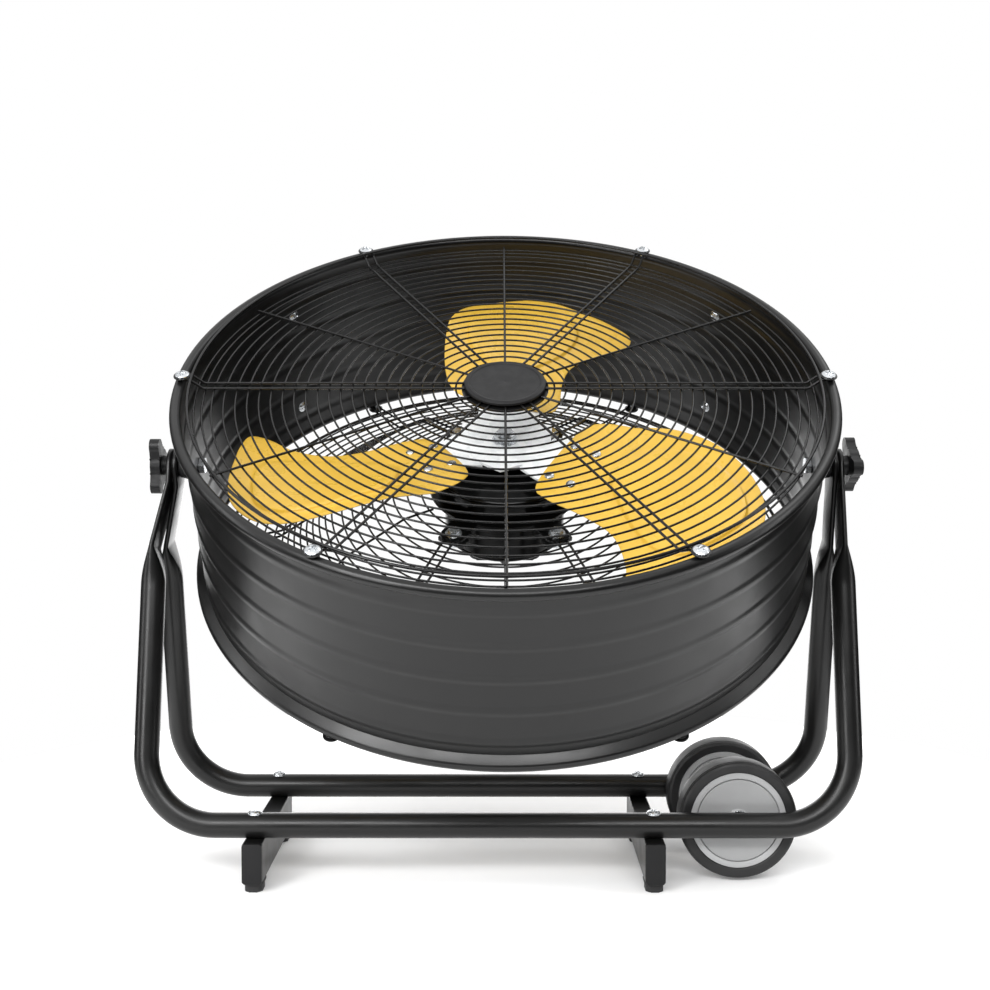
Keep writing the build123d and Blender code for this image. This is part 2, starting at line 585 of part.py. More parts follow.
def tilt_knob():
    """A three-lobed clamping knob, its hub's face at the origin and its top along +Z."""
    star = Circle(KNOB_CORE_R)
    for i in range(KNOB_LOBES):
        star += Rot(0, 0, 360 / KNOB_LOBES * i) * Pos(KNOB_LOBE_CIRCLE, 0) * Circle(KNOB_LOBE_R)
    star = fillet(star.vertices(), KNOB_WEB_FILLET)
    grip = extrude(star, KNOB_THICKNESS)
    grip = chamfer(grip.faces().sort_by(Axis.Z)[-1].edges(), KNOB_EDGE)
    knob = disc(KNOB_HUB_R, KNOB_HUB) + Pos(0, 0, KNOB_HUB) * grip
    return knob - disc(PIVOT_BOLT_R + RUN_CLEARANCE, KNOB_BORE_DEPTH)


def build_drum():
    nodes["drum_shell"] = on_drum(drum_shell())
    for name, side in SIDES.items():
        nodes["pivot_plate_" + name] = on_drum(pivot_plate(side))
        nodes["pivot_bush_" + name] = on_drum(pivot_bush(side))
        knob_place = Pos(leg_outer_face(side) + side * BODY_GAP, 0, 0)
        nodes["tilt_knob_" + name] = on_drum(knob_place * along_x(tilt_knob(), side))
    nodes["pivot_bolts"] = group([on_drum(pivot_bolt(side)) for side in SIDES.values()])
    washer = disc(LEG_WASHER_R, LEG_WASHER, PIVOT_BOLT_R + RUN_CLEARANCE)
    washer_x = REAR_TOP_X + LEG_FLAT_THICKNESS / 2
    nodes["leg_washers"] = group(
        [on_drum(Pos(side * washer_x, 0, 0) * along_x(washer, side)) for side in SIDES.values()]
    )
    for name, angle in HANDLE_ANGLES.items():
        nodes["carry_handle_" + name] = on_drum(carry_handle(angle))
    nodes["handle_screws"] = on_drum(handle_screws())


# ---------------------------------------------------------------- wire guards
def wire_ring(radius, bottom):
    """A wire ring bent from short flats, as many as keep it within the ring sag of a true circle."""
    sides = max(RING_MIN_SIDES, math.ceil(math.pi * math.sqrt(radius / (2 * RING_SAG)) / 6) * 6)
    outer = RegularPolygon(radius + WIRE / 2, sides)
    inner = RegularPolygon(radius - WIRE / 2, sides)
    return Pos(0, 0, bottom) * extrude(outer - inner, WIRE)


def spoke(centre_line):
    """A straight spoke of square wire that follows (radius, z) points at the wire's underside."""
    upper = [(r, z + WIRE) for r, z in reversed(centre_line)]
    side_view = make_face(Plane.XZ * Polyline(*centre_line, *upper, close=True))
    return extrude(side_view, WIRE / 2, both=True)


def hairpin(centre_line):
    """Two spokes joined by a half loop round a guard screw."""
    r, z = centre_line[-1]
    half = SPOKE_PAIR_GAP / 2
    legs = [Pos(0, y, 0) * spoke(centre_line) for y in (-half, half)]
    loop = Circle(half + WIRE / 2) - Circle(half - WIRE / 2)
    loop &= Pos(SPOKE_PAIR_GAP / 2, 0) * Rectangle(SPOKE_PAIR_GAP, 2 * SPOKE_PAIR_GAP)
    return legs[0] + legs[1] + Pos(r, 0, z) * extrude(loop, WIRE)


def ring_radii(inner, outer, pitch):
    """Radii from the inner to the outer ring, evenly spaced as near to the pitch as they come."""
    steps = round((outer - inner) / pitch)
    return [inner + (outer - inner) * i / steps for i in range(steps + 1)]


def front_guard():
    """Flat rings welded under six hairpins and six single spokes. The hairpins step up over the rim."""
    radii = ring_radii(GUARD_RING_INNER_R, DRUM_R - GUARD_RING_GAP, GUARD_RING_PITCH)
    rings = [wire_ring(r, GUARD_Z - WIRE) for r in radii]
    end_r = GUARD_SCREW_CIRCLE_R
    over_rim = [(end_r - JOGGLE_START, GUARD_Z), (end_r - JOGGLE_END, RIM_Z), (end_r, RIM_Z)]
    pair = hairpin([(SPOKE_ROOT_R, GUARD_Z)] + over_rim)
    single = spoke([(SPOKE_ROOT_R, GUARD_Z), (radii[-1], GUARD_Z)])
    half_step = 180 / SPOKE_PAIR_COUNT
    return group(rings + around(pair, SPOKE_PAIR_COUNT) + around(single, SPOKE_PAIR_COUNT, half_step))


def rear_spoke_z(r):
    """Height of the front of a rear spoke at a radius: flat round the motor, then a cone to the rim."""
    rim_z = -RIM_Z - WIRE
    if r <= REAR_SEAT_R:
        return REAR_SEAT_Z
    return REAR_SEAT_Z + (rim_z + WIRE - REAR_SEAT_Z) * (r - REAR_SEAT_R) / (REAR_RIM_WIRE_R - REAR_SEAT_R)


def rear_guard():
    """Rings on the back of a wire cone that runs in from the rim to carry the motor."""
    radii = [REAR_RING_INNER_R] + ring_radii(REAR_SEAT_R, REAR_RIM_WIRE_R - REAR_RING_GAP, REAR_RING_PITCH)
    rings = [wire_ring(r, rear_spoke_z(r + WIRE / 2) - 2 * WIRE) for r in radii]
    seat = REAR_SEAT_Z - WIRE
    rim = -RIM_Z - WIRE
    line = [(REAR_RING_INNER_R - WIRE, seat), (REAR_SEAT_R, seat), (REAR_RIM_WIRE_R, rim)]
    pair = hairpin(line + [(GUARD_SCREW_CIRCLE_R, rim)])
    single = spoke(line)
    half_step = 180 / SPOKE_PAIR_COUNT
    return group(rings + around(pair, SPOKE_PAIR_COUNT) + around(single, SPOKE_PAIR_COUNT, half_step))


def guard_badge():
    """A bare round badge with a raised rim, over the inner ends of the spokes."""
    top = BADGE_THICKNESS
    inner = BADGE_R - BADGE_RIM
    face = top - 1.5
    rolled_edge = [(BADGE_R - 1.0, 0), (BADGE_R, 1.0), (BADGE_R - 1.0, top), (inner, top)]
    return Pos(0, 0, GUARD_Z + WIRE) * turned([(0, 0)] + rolled_edge + [(inner - 2.0, face), (0, face)])


def badge_clamp():
    """The disc behind the guard that holds the badge to the spokes."""
    return Pos(0, 0, GUARD_Z - WIRE) * disc(GUARD_RING_INNER_R - 2 * WIRE, WIRE)


def build_guards():
    washer = flat_disc(GUARD_WASHER_R, GUARD_WASHER, GUARD_SCREW_R + SLIP_CLEARANCE)
    washer = Pos(0, 0, RIM_Z + WIRE) * washer
    shank = GUARD_WASHER + WIRE + GUARD_SCREW_BITE
    screw = pan_screw(GUARD_SCREW_R, shank, GUARD_SCREW_HEAD_R, GUARD_SCREW_HEAD)
    screw = Pos(0, 0, RIM_Z + WIRE + GUARD_WASHER) * screw
    to_rear = Rot(180, 0, 0)
    places = guard_screw_places()
    nodes["front_guard"] = on_drum(front_guard())
    nodes["front_guard_washers"] = on_drum(group([place * washer for place in places]))
    nodes["front_guard_screws"] = on_drum(group([place * screw for place in places]))
    nodes["front_badge"] = on_drum(guard_badge())
    nodes["badge_clamp"] = on_drum(badge_clamp())
    nodes["rear_guard"] = on_drum(rear_guard())
    nodes["rear_guard_washers"] = on_drum(group([to_rear * place * washer for place in places]))
    nodes["rear_guard_screws"] = on_drum(group([to_rear * place * screw for place in places]))


# ---------------------------------------------------------------- motor
BRACKET_TOP = REAR_SEAT_Z + BRACKET_THICKNESS


def motor_housing():
    """The motor's barrel, stepped where it drops through the bracket."""
    bore = MOTOR_BODY_R - MOTOR_WALL
    behind = [(bore, MOTOR_REAR_Z), (MOTOR_BODY_R, MOTOR_REAR_Z), (MOTOR_BODY_R, BRACKET_TOP)]
    before = [(MOTOR_R, BRACKET_TOP), (MOTOR_R, MOTOR_FRONT_Z), (bore, MOTOR_FRONT_Z)]
    return turned(behind + before)


def motor_front_cover():
    """The domed front cover with the front bearing's pocket."""
    nose = MOTOR_FRONT_Z + MOTOR_COVER_RISE
    shoulder = MOTOR_FRONT_Z + MOTOR_COVER_SHOULDER
    pocket_r = BEARING_R + SEAT_CLEARANCE
    pocket_top = MOTOR_FRONT_Z + BEARING_WIDTH
    shaft_hole = SHAFT_R + 1.0
    return turned([
        (pocket_r, MOTOR_FRONT_Z), (MOTOR_R, MOTOR_FRONT_Z), (MOTOR_R, MOTOR_FRONT_Z + 3.0),
        (MOTOR_COVER_SHOULDER_R, shoulder), (MOTOR_COVER_NOSE_R, nose), (shaft_hole, nose),
        (shaft_hole, pocket_top), (pocket_r, pocket_top),
    ])


def motor_rear_cover():
    """The flat rear cover with the rear bearing's pocket."""
    cover = Pos(0, 0, MOTOR_REAR_Z - MOTOR_REAR_COVER) * disc(MOTOR_BODY_R, MOTOR_REAR_COVER)
    spigot_r = MOTOR_BODY_R - MOTOR_WALL - SEAT_CLEARANCE
    cover += Pos(0, 0, MOTOR_REAR_Z) * disc(spigot_r, BEARING_WIDTH, BEARING_R + SEAT_CLEARANCE)
    return cover


def motor_stator():
    """The stator's iron ring, slotted for its windings."""
    outer = MOTOR_BODY_R - MOTOR_WALL - SEAT_CLEARANCE
    iron = Circle(outer) - Circle(STATOR_BORE_R)
    slot_r = STATOR_BORE_R + STATOR_SLOT_DEPTH / 2 + 3.0
    slot = Pos(slot_r, 0) * RectangleRounded(STATOR_SLOT_DEPTH, STATOR_SLOT_WIDTH, 2.0)
    for i in range(STATOR_SLOTS):
        iron -= Rot(0, 0, 360 / STATOR_SLOTS * i) * slot
    return Pos(0, 0, motor_middle() - STATOR_LENGTH / 2) * extrude(iron, STATOR_LENGTH)


def motor_middle():
    return (MOTOR_FRONT_Z + MOTOR_REAR_Z + BEARING_WIDTH) / 2


def motor_bracket():
    """A pressed ring with four arms that sits on the rear guard's hairpins."""
    plate = Circle(BRACKET_RING_R)
    reach = BRACKET_BOLT_CIRCLE_R + BRACKET_ARM_WIDTH / 2
    for angle in BRACKET_BOLT_ANGLES:
        plate += Rot(0, 0, angle) * Pos(reach / 2, 0) * SlotOverall(reach, BRACKET_ARM_WIDTH)
    plate -= Circle(MOTOR_BODY_R + SEAT_CLEARANCE)
    for angle in BRACKET_BOLT_ANGLES:
        plate -= Rot(0, 0, angle) * Pos(BRACKET_BOLT_CIRCLE_R, 0) * Circle(BRACKET_BOLT_R + SLIP_CLEARANCE)
    return Pos(0, 0, REAR_SEAT_Z) * extrude(plate, BRACKET_THICKNESS)


def at_bracket_bolts(shape):
    """Copies a shape to the four bracket bolts, turned to lie along its spoke pair."""
    outward = Pos(BRACKET_BOLT_CIRCLE_R, 0, 0)
    return group([Rot(0, 0, angle) * outward * shape for angle in BRACKET_BOLT_ANGLES])


def build_motor():
    middle = motor_middle()
    nodes["motor_housing"] = on_drum(motor_housing())
    nodes["motor_front_cover"] = on_drum(motor_front_cover())
    nodes["motor_rear_cover"] = on_drum(motor_rear_cover())
    nodes["motor_stator"] = on_drum(motor_stator())
    nodes["motor_bracket"] = on_drum(motor_bracket())
    hole = BRACKET_BOLT_R + SLIP_CLEARANCE
    washer = Pos(0, 0, BRACKET_TOP) * disc(BRACKET_WASHER_R, BRACKET_WASHER, hole)
    nodes["bracket_washers"] = on_drum(at_bracket_bolts(washer))
    clamp_z = REAR_SEAT_Z - WIRE - BRACKET_THICKNESS
    nut_z = clamp_z - BRACKET_NUT
    head_z = BRACKET_TOP + BRACKET_WASHER
    bolt = Pos(0, 0, nut_z - 2.0) * disc(BRACKET_BOLT_R, head_z - nut_z + 2.0)
    bolt += Pos(0, 0, head_z) * hexagon(BRACKET_BOLT_HEAD_R, BRACKET_BOLT_HEAD)
    nodes["bracket_bolts"] = on_drum(at_bracket_bolts(bolt))
    strip = RectangleRounded(CLAMP_LENGTH / 2, CLAMP_LENGTH, 3.0) - Circle(hole)
    clamp = Pos(0, 0, clamp_z) * extrude(strip, BRACKET_THICKNESS)
    nodes["guard_clamps"] = on_drum(at_bracket_bolts(clamp))
    nut = Pos(0, 0, nut_z) * hexagon(BRACKET_BOLT_HEAD_R, BRACKET_NUT, BRACKET_BOLT_R + SEAT_CLEARANCE)
    nodes["bracket_nuts"] = on_drum(at_bracket_bolts(nut))
    bearing = disc(BEARING_R, BEARING_WIDTH, SHAFT_R + RUN_CLEARANCE)
    nodes["bearing_front"] = on_drum(Pos(0, 0, MOTOR_FRONT_Z) * bearing)
    nodes["bearing_rear"] = on_drum(Pos(0, 0, MOTOR_REAR_Z) * bearing)
    rotor = disc(STATOR_BORE_R - ROTOR_AIR_GAP, STATOR_LENGTH, SHAFT_R + SEAT_CLEARANCE)
    nodes["motor_rotor"] = on_drum(Pos(0, 0, middle - STATOR_LENGTH / 2) * rotor)


# ---------------------------------------------------------------- fan
def blade_slope(r):
    """Tangent of the blade's pitch at a radius: a parabola through root, middle and tip."""
    if r <= ROOT_R:
        return math.tan(math.radians(ROOT_ANGLE))
    root, middle, tip = (math.tan(math.radians(pitch)) for pitch in (ROOT_ANGLE, MID_ANGLE, TIP_ANGLE))
    s = (r - ROOT_R) / (FAN_R - ROOT_R)
    bend = ((middle - root) / MID_SHARE - (tip - root)) / (MID_SHARE - 1)
    return root + (tip - root - bend) * s + bend * s * s


def blade_height(r, across):
    """Height of the blade's middle surface, r outward and across towards the trailing edge."""
    outside = max(0.0, r - ROOT_R)
    camber = min(1.0, 4 * outside / (FAN_R - ROOT_R)) * across**2 / (2 * BLADE_CAMBER_R)
    return BLADE_ROOT_Z + BLADE_CONE * outside + blade_slope(r) * across + camber


def blade_sheet(lift):
    """The whole curved sheet that a blade is cut from."""
    inner = RIVET_INNER_R - 4 * RIVET_HEAD_R
    radii = [inner + (FAN_R + BLADE_SPAN_MARGIN - inner) * i / 15 for i in range(16)]
    acrosses = [ROOT_R * (i - 7) * 2 / 11 for i in range(13)]
    lift -= BLADE_THICKNESS / 2
    grid = [[Vector(r, across, blade_height(r, across) + lift) for across in acrosses] for r in radii]
    return thicken(Face.make_surface_from_array_of_points(grid), BLADE_THICKNESS)


def outline_prism(shares):
    """A tall block with a blade or panel outline, from its shares."""
    points = []
    for outward, sideways in shares:
        span = ROOT_R if outward < 0 else FAN_R - ROOT_R
        points.append((ROOT_R + outward * span, sideways * ROOT_R))
    return extrude(make_face(Spline(*points, periodic=True)), 2 * ROOT_R)


def arm_plane():
    """The plane of a hub arm's top and of the blade's root, in a blade's own frame."""
    return Pos(0, 0, HUB_Z) * Rot(ROOT_ANGLE, 0, 0)


def rivet_places():
    radii = (RIVET_INNER_R, RIVET_OUTER_R)
    return [arm_plane() * Pos(r, side * RIVET_HALF_SPACING, 0) for r in radii for side in (-1, 1)]


def fan_blade():
    """A pressed blade: twisted sheet cut to outline, with a raised panel, drilled for its rivets."""
    outline = outline_prism(BLADE_OUTLINE)
    panel = outline_prism(PANEL_OUTLINE)
    blade = (blade_sheet(0.0) & outline) + (blade_sheet(PANEL_RAISE) & panel)
    for place in rivet_places():
        blade -= place * Cylinder(RIVET_R + SEAT_CLEARANCE, 8 * RIVET_HEAD)
    return blade


def hub_arm():
    """One arm of the hub plate: it leaves the middle flat and twists to the blade's root pitch."""
    half = HUB_PLATE_THICKNESS / 2
    width = 2 * HUB_ARM_HALF_WIDTH
    section = Rectangle(width, HUB_PLATE_THICKNESS)
    stations = [(HUB_ARM_TWIST_R, 0.0), (HUB_ARM_FLAT_R, ROOT_ANGLE)]
    planes = []
    for r, pitch in stations:
        lean = math.radians(pitch)
        centre = (r, half * math.sin(lean), HUB_Z - half * math.cos(lean))
        planes.append(Plane(centre, x_dir=(0, math.cos(lean), math.sin(lean)), z_dir=(1, 0, 0)))
    twist = loft([plane * section for plane in planes])
    flat_length = HUB_ARM_R - HUB_ARM_FLAT_R
    pad = Pos(HUB_ARM_FLAT_R + flat_length / 2, 0, -half) * Box(flat_length, width, HUB_PLATE_THICKNESS)
    pad = fillet(pad.edges().filter_by(Axis.Z).group_by(Axis.X)[-1], HUB_ARM_CORNER_R)
    arm = twist + arm_plane() * pad
    for place in rivet_places():
        arm -= place * Cylinder(RIVET_R + SEAT_CLEARANCE, 8 * RIVET_HEAD)
    return arm


def blade_angles():
    return [BLADE_START_ANGLE + 360 / BLADE_COUNT * i for i in range(BLADE_COUNT)]


def hub_plate():
    """The galvanised spider: a flat middle and one twisted arm for each blade."""
    middle = extrude(RegularPolygon(HUB_PLATE_R, 2 * BLADE_COUNT, major_radius=False), HUB_PLATE_THICKNESS)
    plate = Rot(0, 0, BLADE_START_ANGLE) * Pos(0, 0, HUB_Z - HUB_PLATE_THICKNESS) * middle
    for angle in blade_angles():
        plate += Rot(0, 0, angle) * hub_arm()
    return plate - Pos(0, 0, HUB_Z) * Cylinder(SHAFT_R + SEAT_CLEARANCE, 4 * HUB_PLATE_THICKNESS)


def blade_rivets():
    """A rivet through blade and arm: a domed head on the blade and a flat tail under the arm."""
    grip = HUB_PLATE_THICKNESS + BLADE_THICKNESS + 2 * BLADE_SEAT_GAP
    rivet = pan_screw(RIVET_R, grip, RIVET_HEAD_R, RIVET_HEAD)
    rivet += Pos(0, 0, -grip - RIVET_TAIL) * flat_disc(RIVET_TAIL_R, RIVET_TAIL)
    rivet = Pos(0, 0, grip - HUB_PLATE_THICKNESS) * rivet
    return group([Rot(0, 0, angle) * place * rivet for angle in blade_angles() for place in rivet_places()])


def build_fan():
    blade = fan_blade()
    for number, angle in enumerate(blade_angles(), 1):
        nodes["fan_blade_%d" % number] = on_drum(Rot(0, 0, angle) * blade)
    nodes["hub_plate"] = on_drum(hub_plate())
    nodes["blade_rivets"] = on_drum(blade_rivets())
    plate_bottom = HUB_Z - HUB_PLATE_THICKNESS
    boss = disc(HUB_BOSS_R, plate_bottom - HUB_BOSS_BASE_Z, SHAFT_R + SEAT_CLEARANCE)
    nodes["hub_boss"] = on_drum(Pos(0, 0, HUB_BOSS_BASE_Z) * boss)
    nodes["hub_nut"] = on_drum(Pos(0, 0, HUB_Z) * hexagon(HUB_NUT_R, HUB_NUT, SHAFT_R + SEAT_CLEARANCE))
    shaft_top = HUB_Z + HUB_NUT + SHAFT_END
    shaft_bottom = MOTOR_REAR_Z + BODY_GAP
    nodes["motor_shaft"] = on_drum(Pos(0, 0, shaft_bottom) * disc(SHAFT_R, shaft_top - shaft_bottom))


# ---------------------------------------------------------------- speed switch
def build_switch():
    """A closed switch box on the motor's rear cover, its turn knob and an empty cable gland."""
    top = MOTOR_REAR_Z - MOTOR_REAR_COVER
    bottom = top - SWITCH_BOX_DEPTH
    box = extrude(RectangleRounded(SWITCH_BOX_WIDTH, SWITCH_BOX_HEIGHT, SWITCH_BOX_ROUND), SWITCH_BOX_DEPTH)
    stem_hole = Cylinder(SPEED_STEM_R + RUN_CLEARANCE, 2 * SPEED_STEM)
    nodes["switch_box"] = on_drum(Pos(0, 0, bottom) * (box - stem_hole))
    grip = disc(SPEED_KNOB_R, SPEED_KNOB_LENGTH - SPEED_KNOB_GRIP)
    bar = Pos(0, 0, SPEED_KNOB_LENGTH - SPEED_KNOB_GRIP) * extrude(
        SlotOverall(2 * SPEED_KNOB_R - 2.0, SPEED_KNOB_GRIP), SPEED_KNOB_GRIP
    )
    stem = Cylinder(SPEED_STEM_R, SPEED_STEM - 1.0, align=HANG_ANCHOR)
    knob = Rot(180, 0, 0) * (grip + bar + stem)
    nodes["speed_knob"] = on_drum(Pos(0, 0, bottom - BODY_GAP) * knob)
    gland = hexagon(GLAND_R, GLAND_LENGTH / 2) + disc(GLAND_R * 0.8, GLAND_LENGTH)
    gland -= Cylinder(GLAND_BORE_R, 3 * GLAND_LENGTH)
    gland_place = Pos(0, -SWITCH_BOX_HEIGHT / 2, (top + bottom) / 2) * Rot(90, 0, 0)
    nodes["cable_gland"] = on_drum(gland_place * gland)


build_stand()
build_wheels()
build_drum()
build_guards()
build_motor()
build_fan()
build_switch()

for name, shape in nodes.items():
    export_step(shape, "parts/%s.step" % name)
print(len(nodes), "nodes")
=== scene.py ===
"""Looks of a tilting drum fan, laid out as an add-on and run as a script.

Everything is in metres, +Z up, with the front at -Y. Pieces of the drum and of the fan are built in the
drum's own frame and then put in place: its X axis is the tilt axis, and its Z axis is the fan's axis, out of
the front guard.
"""

import json
import math
import random

import bmesh
import bpy
from mathutils import Matrix, Vector

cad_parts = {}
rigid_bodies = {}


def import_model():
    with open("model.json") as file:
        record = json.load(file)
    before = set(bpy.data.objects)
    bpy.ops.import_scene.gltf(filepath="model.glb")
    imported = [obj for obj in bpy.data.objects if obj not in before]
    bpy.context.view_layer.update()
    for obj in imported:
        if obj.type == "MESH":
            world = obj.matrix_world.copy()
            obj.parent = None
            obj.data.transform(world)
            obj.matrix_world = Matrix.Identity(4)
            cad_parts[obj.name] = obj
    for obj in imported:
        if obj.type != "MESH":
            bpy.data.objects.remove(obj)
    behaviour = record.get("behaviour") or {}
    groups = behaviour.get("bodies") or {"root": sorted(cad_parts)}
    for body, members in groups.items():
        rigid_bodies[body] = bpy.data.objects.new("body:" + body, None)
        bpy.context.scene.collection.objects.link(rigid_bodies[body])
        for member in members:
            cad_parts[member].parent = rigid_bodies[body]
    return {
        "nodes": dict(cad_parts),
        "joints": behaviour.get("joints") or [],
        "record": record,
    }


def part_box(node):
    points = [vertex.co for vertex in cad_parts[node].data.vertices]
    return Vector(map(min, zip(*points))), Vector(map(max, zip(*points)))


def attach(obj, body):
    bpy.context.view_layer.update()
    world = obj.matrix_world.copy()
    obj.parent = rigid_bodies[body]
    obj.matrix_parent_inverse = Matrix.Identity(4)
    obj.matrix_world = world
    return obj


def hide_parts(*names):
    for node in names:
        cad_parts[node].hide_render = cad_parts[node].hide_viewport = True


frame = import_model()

bl_info = {
    "name": "Drum fan looks",
    "version": (1, 0, 0),
    "blender": (4, 5, 0),
    "location": "View3D > Sidebar > Drum fan",
    "description": "Builds the visible pieces of a tilting drum fan round its packed model",
    "category": "Add Mesh",
}

MM = 0.001

# ---------------------------------------------------------------- the frame's own facts
SLOTS = {part["node"]: part["material_slot"] for part in frame["record"]["subparts"]}
BODIES = {node: body for body, nodes in frame["record"]["behaviour"]["bodies"].items() for node in nodes}
JOINTS = {joint["name"]: joint for joint in frame["joints"]}

PIVOT = Vector(JOINTS["drum_tilt"]["pos_m"])
FAN_AXIS = Vector(JOINTS["fan_spin"]["axis"])
DRUM_TILT = math.atan2(-FAN_AXIS.y, FAN_AXIS.z)
DRUM = Matrix.Translation(PIVOT) @ Matrix.Rotation(DRUM_TILT, 4, "X")
WHEEL_CENTRES = {side: Vector(JOINTS["wheel_%s_spin" % side]["pos_m"]) for side in ("front", "rear")}
HERE = Matrix.Identity(4)

# ---------------------------------------------------------------- the stand's fixed sizes
TUBE = 25 * MM
BASE_Y = 75 * MM  # from the stand's middle to a base tube's middle
FRAME_WIDTHS = {"front": 708 * MM, "rear": 696 * MM}
LEG_FLAT = 5 * MM
LEG_FLAT_WIDTH = 35 * MM
LEG_FLAT_LENGTH = 85 * MM
LEG_TAPER = 40 * MM
LEG_EYE = 20 * MM  # the flat end stays upright this far below the tilt axis
LEG_TOPS = {"front": 346.5 * MM, "rear": 340.5 * MM}  # a flattened end's middle, from the drum's middle
CROSSBAR_X = {"left": -242.5 * MM, "right": 155 * MM}
CROSSBAR_LENGTH = 190 * MM
CROSSBAR_WIDTH = 20 * MM
CROSSBAR_HEIGHT = 40 * MM
CROSSBAR_CORNER = 2 * MM
PLUG_TRIM = 0.4 * MM  # the plugs are this much narrower than the crossbars
FOOT_HEIGHT = 10 * MM
FOOT_INSET = 15 * MM
BASE_Z = FOOT_HEIGHT + CROSSBAR_HEIGHT + TUBE / 2  # the base tubes' middle

WHEEL_R = 60 * MM
WHEEL_HALF = 15.5 * MM
WHEEL_RIM_R = 48.4 * MM
WHEEL_GROOVE_R = 42 * MM

# ---------------------------------------------------------------- the drum's and the guards' fixed sizes
DRUM_R = 319 * MM
DRUM_WALL = 1.2 * MM
RIM_OVERHANG = 10 * MM  # the rolled beads stand this far out of the wall
BEAD_R = 5.5 * MM
BEAD_CENTRE_R = DRUM_R + RIM_OVERHANG - BEAD_R
BEAD_Z = 100 * MM
RIM_Z = BEAD_Z + BEAD_R
SIDES = (("left", -90), ("right", 90))  # a part made along Z turns by this about Y to face outwards
HANDLE_ANGLES = {"right": 41, "left": 139}
HANDLE_HALF = 61 * MM
HANDLE_REACH = 40 * MM
HANDLE_BAR_R = 6.5 * MM

HAIRPIN_HALF_GAP = 5 * MM
WIRE_BEND = 6 * MM
GUARD_SCREW_CIRCLE_R = BEAD_CENTRE_R - 2.5 * MM
GUARD_WASHER = 1.2 * MM
GUARD_WASHER_R = 8.5 * MM
GUARD_Z = 95.7 * MM  # where the front guard's rings and spokes touch
WIRE_START_R = 33 * MM  # the front spokes start here, under the badge
SINGLE_END_R = 310 * MM
HAIRPIN_STEP = (301 * MM, 313 * MM)  # the front hairpins step up over the rolled rim between these radii
FRONT_RING_COUNT = 22  # evenly spaced, with two more outside them and then the thick one
OUTER_RING_R = 299 * MM
OUTER_RING_PITCH = 8 * MM
RIM_RING_WIRE = 3 * MM  # the thick ring, which lies on the hairpins just inside their washers
RIM_RING_R = GUARD_SCREW_CIRCLE_R - GUARD_WASHER_R - RIM_RING_WIRE / 2

REAR_SEAT_R = 118 * MM
REAR_SEAT_Z = -24 * MM
REAR_RIM_WIRE_R = 314 * MM
REAR_RIM_RING_R = 307 * MM
REAR_RIM_RING_WIRE = 3.6 * MM
# The rear spokes' line, (radius, height of its front): flat round the motor, a step and a shallow cone.
REAR_LINE = [
    (85.2 * MM, REAR_SEAT_Z), (REAR_SEAT_R, REAR_SEAT_Z), (185 * MM, -46 * MM), (242 * MM, -89 * MM),
    (REAR_RIM_WIRE_R, -RIM_Z),
]
# Evenly spaced groups of the rear rings: first and last radius in millimetres, and how many.
REAR_RINGS = ((88, 118, 3), (129, 183, 6), (190, 239, 8), (249, 299, 5))
SPOKE_COUNT = 6  # of hairpins, of single spokes and of guard screws, on each guard

# ---------------------------------------------------------------- the motor's and the fan's fixed sizes
# The motor's sections, (radius, height) in millimetres.
MOTOR_BARREL = [(63, -72), (66, -72), (66, -21), (70, -21), (70, -2), (63, -2)]
MOTOR_FRONT = [
    (8.2, 7), (8.2, 14), (24, 14), (27, 13.4), (54, 9), (68, 2.5), (70, 1), (70, -2), (16.2, -2), (16.2, 7),
]
MOTOR_BACK = [(0, -79), (60, -79), (66, -76), (66, -72), (0, -72)]
HUB_Z = 32.1 * MM

PITCHES = (10.9, 13.8, -2.0)  # a blade's pitch at its root, at its middle and at its tip, in degrees
MID_SHARE = 0.514  # of the way from the root to the tip, where the middle pitch holds
ROOT_R = 110 * MM
FAN_R = 287 * MM
BLADE_ROOT_Z = 33 * MM
BLADE_CONE = 0.035  # how much a blade rises for each metre outwards
BLADE_CAMBER_R = 0.79  # radius of its curve across, in metres
BLADE_COUNT = 3
BLADE_PHASE = 85  # the first blade's direction, in degrees from the tilt axis
BLADE_EDGE = 0.35 * MM  # width of the rounding along a blade's edge
BLADE_EDGE_SHARE = 0.28  # of the sheet's thickness, from its middle to each side of the outermost edge
RIVET_RADII = (70 * MM, 95 * MM)
RIVET_SIDES = (-24 * MM, 24 * MM)
# A blade's and its panel's outlines, (radius, across) in millimetres.
BLADE_OUTLINE = [
    (64, -36), (84, -51), (130, -53), (168, -62.5), (199, -92), (214, -119), (232, -127), (248, -106),
    (263, -76), (281, -35), (287, 0), (273, 39), (244, 65), (206, 77.5), (170, 79.5), (119, 76), (76, 64),
    (62, 40),
]
PANEL_OUTLINE = [(122, 8), (150, 50), (205, 58), (248, 42), (268, 4), (246, -58), (212, -64), (160, -34)]
PANEL_SLOPE = 2.8 * MM  # width of the crease round a blade's panel
BLADE_HEART = Vector((190 * MM, -6 * MM))  # both outlines are seen whole from here

SWITCH_FACE_Z = -103 * MM
SWITCH_DIAL_GAP = 0.3 * MM
GLAND_PLACE = (0, -30 * MM, -91 * MM)

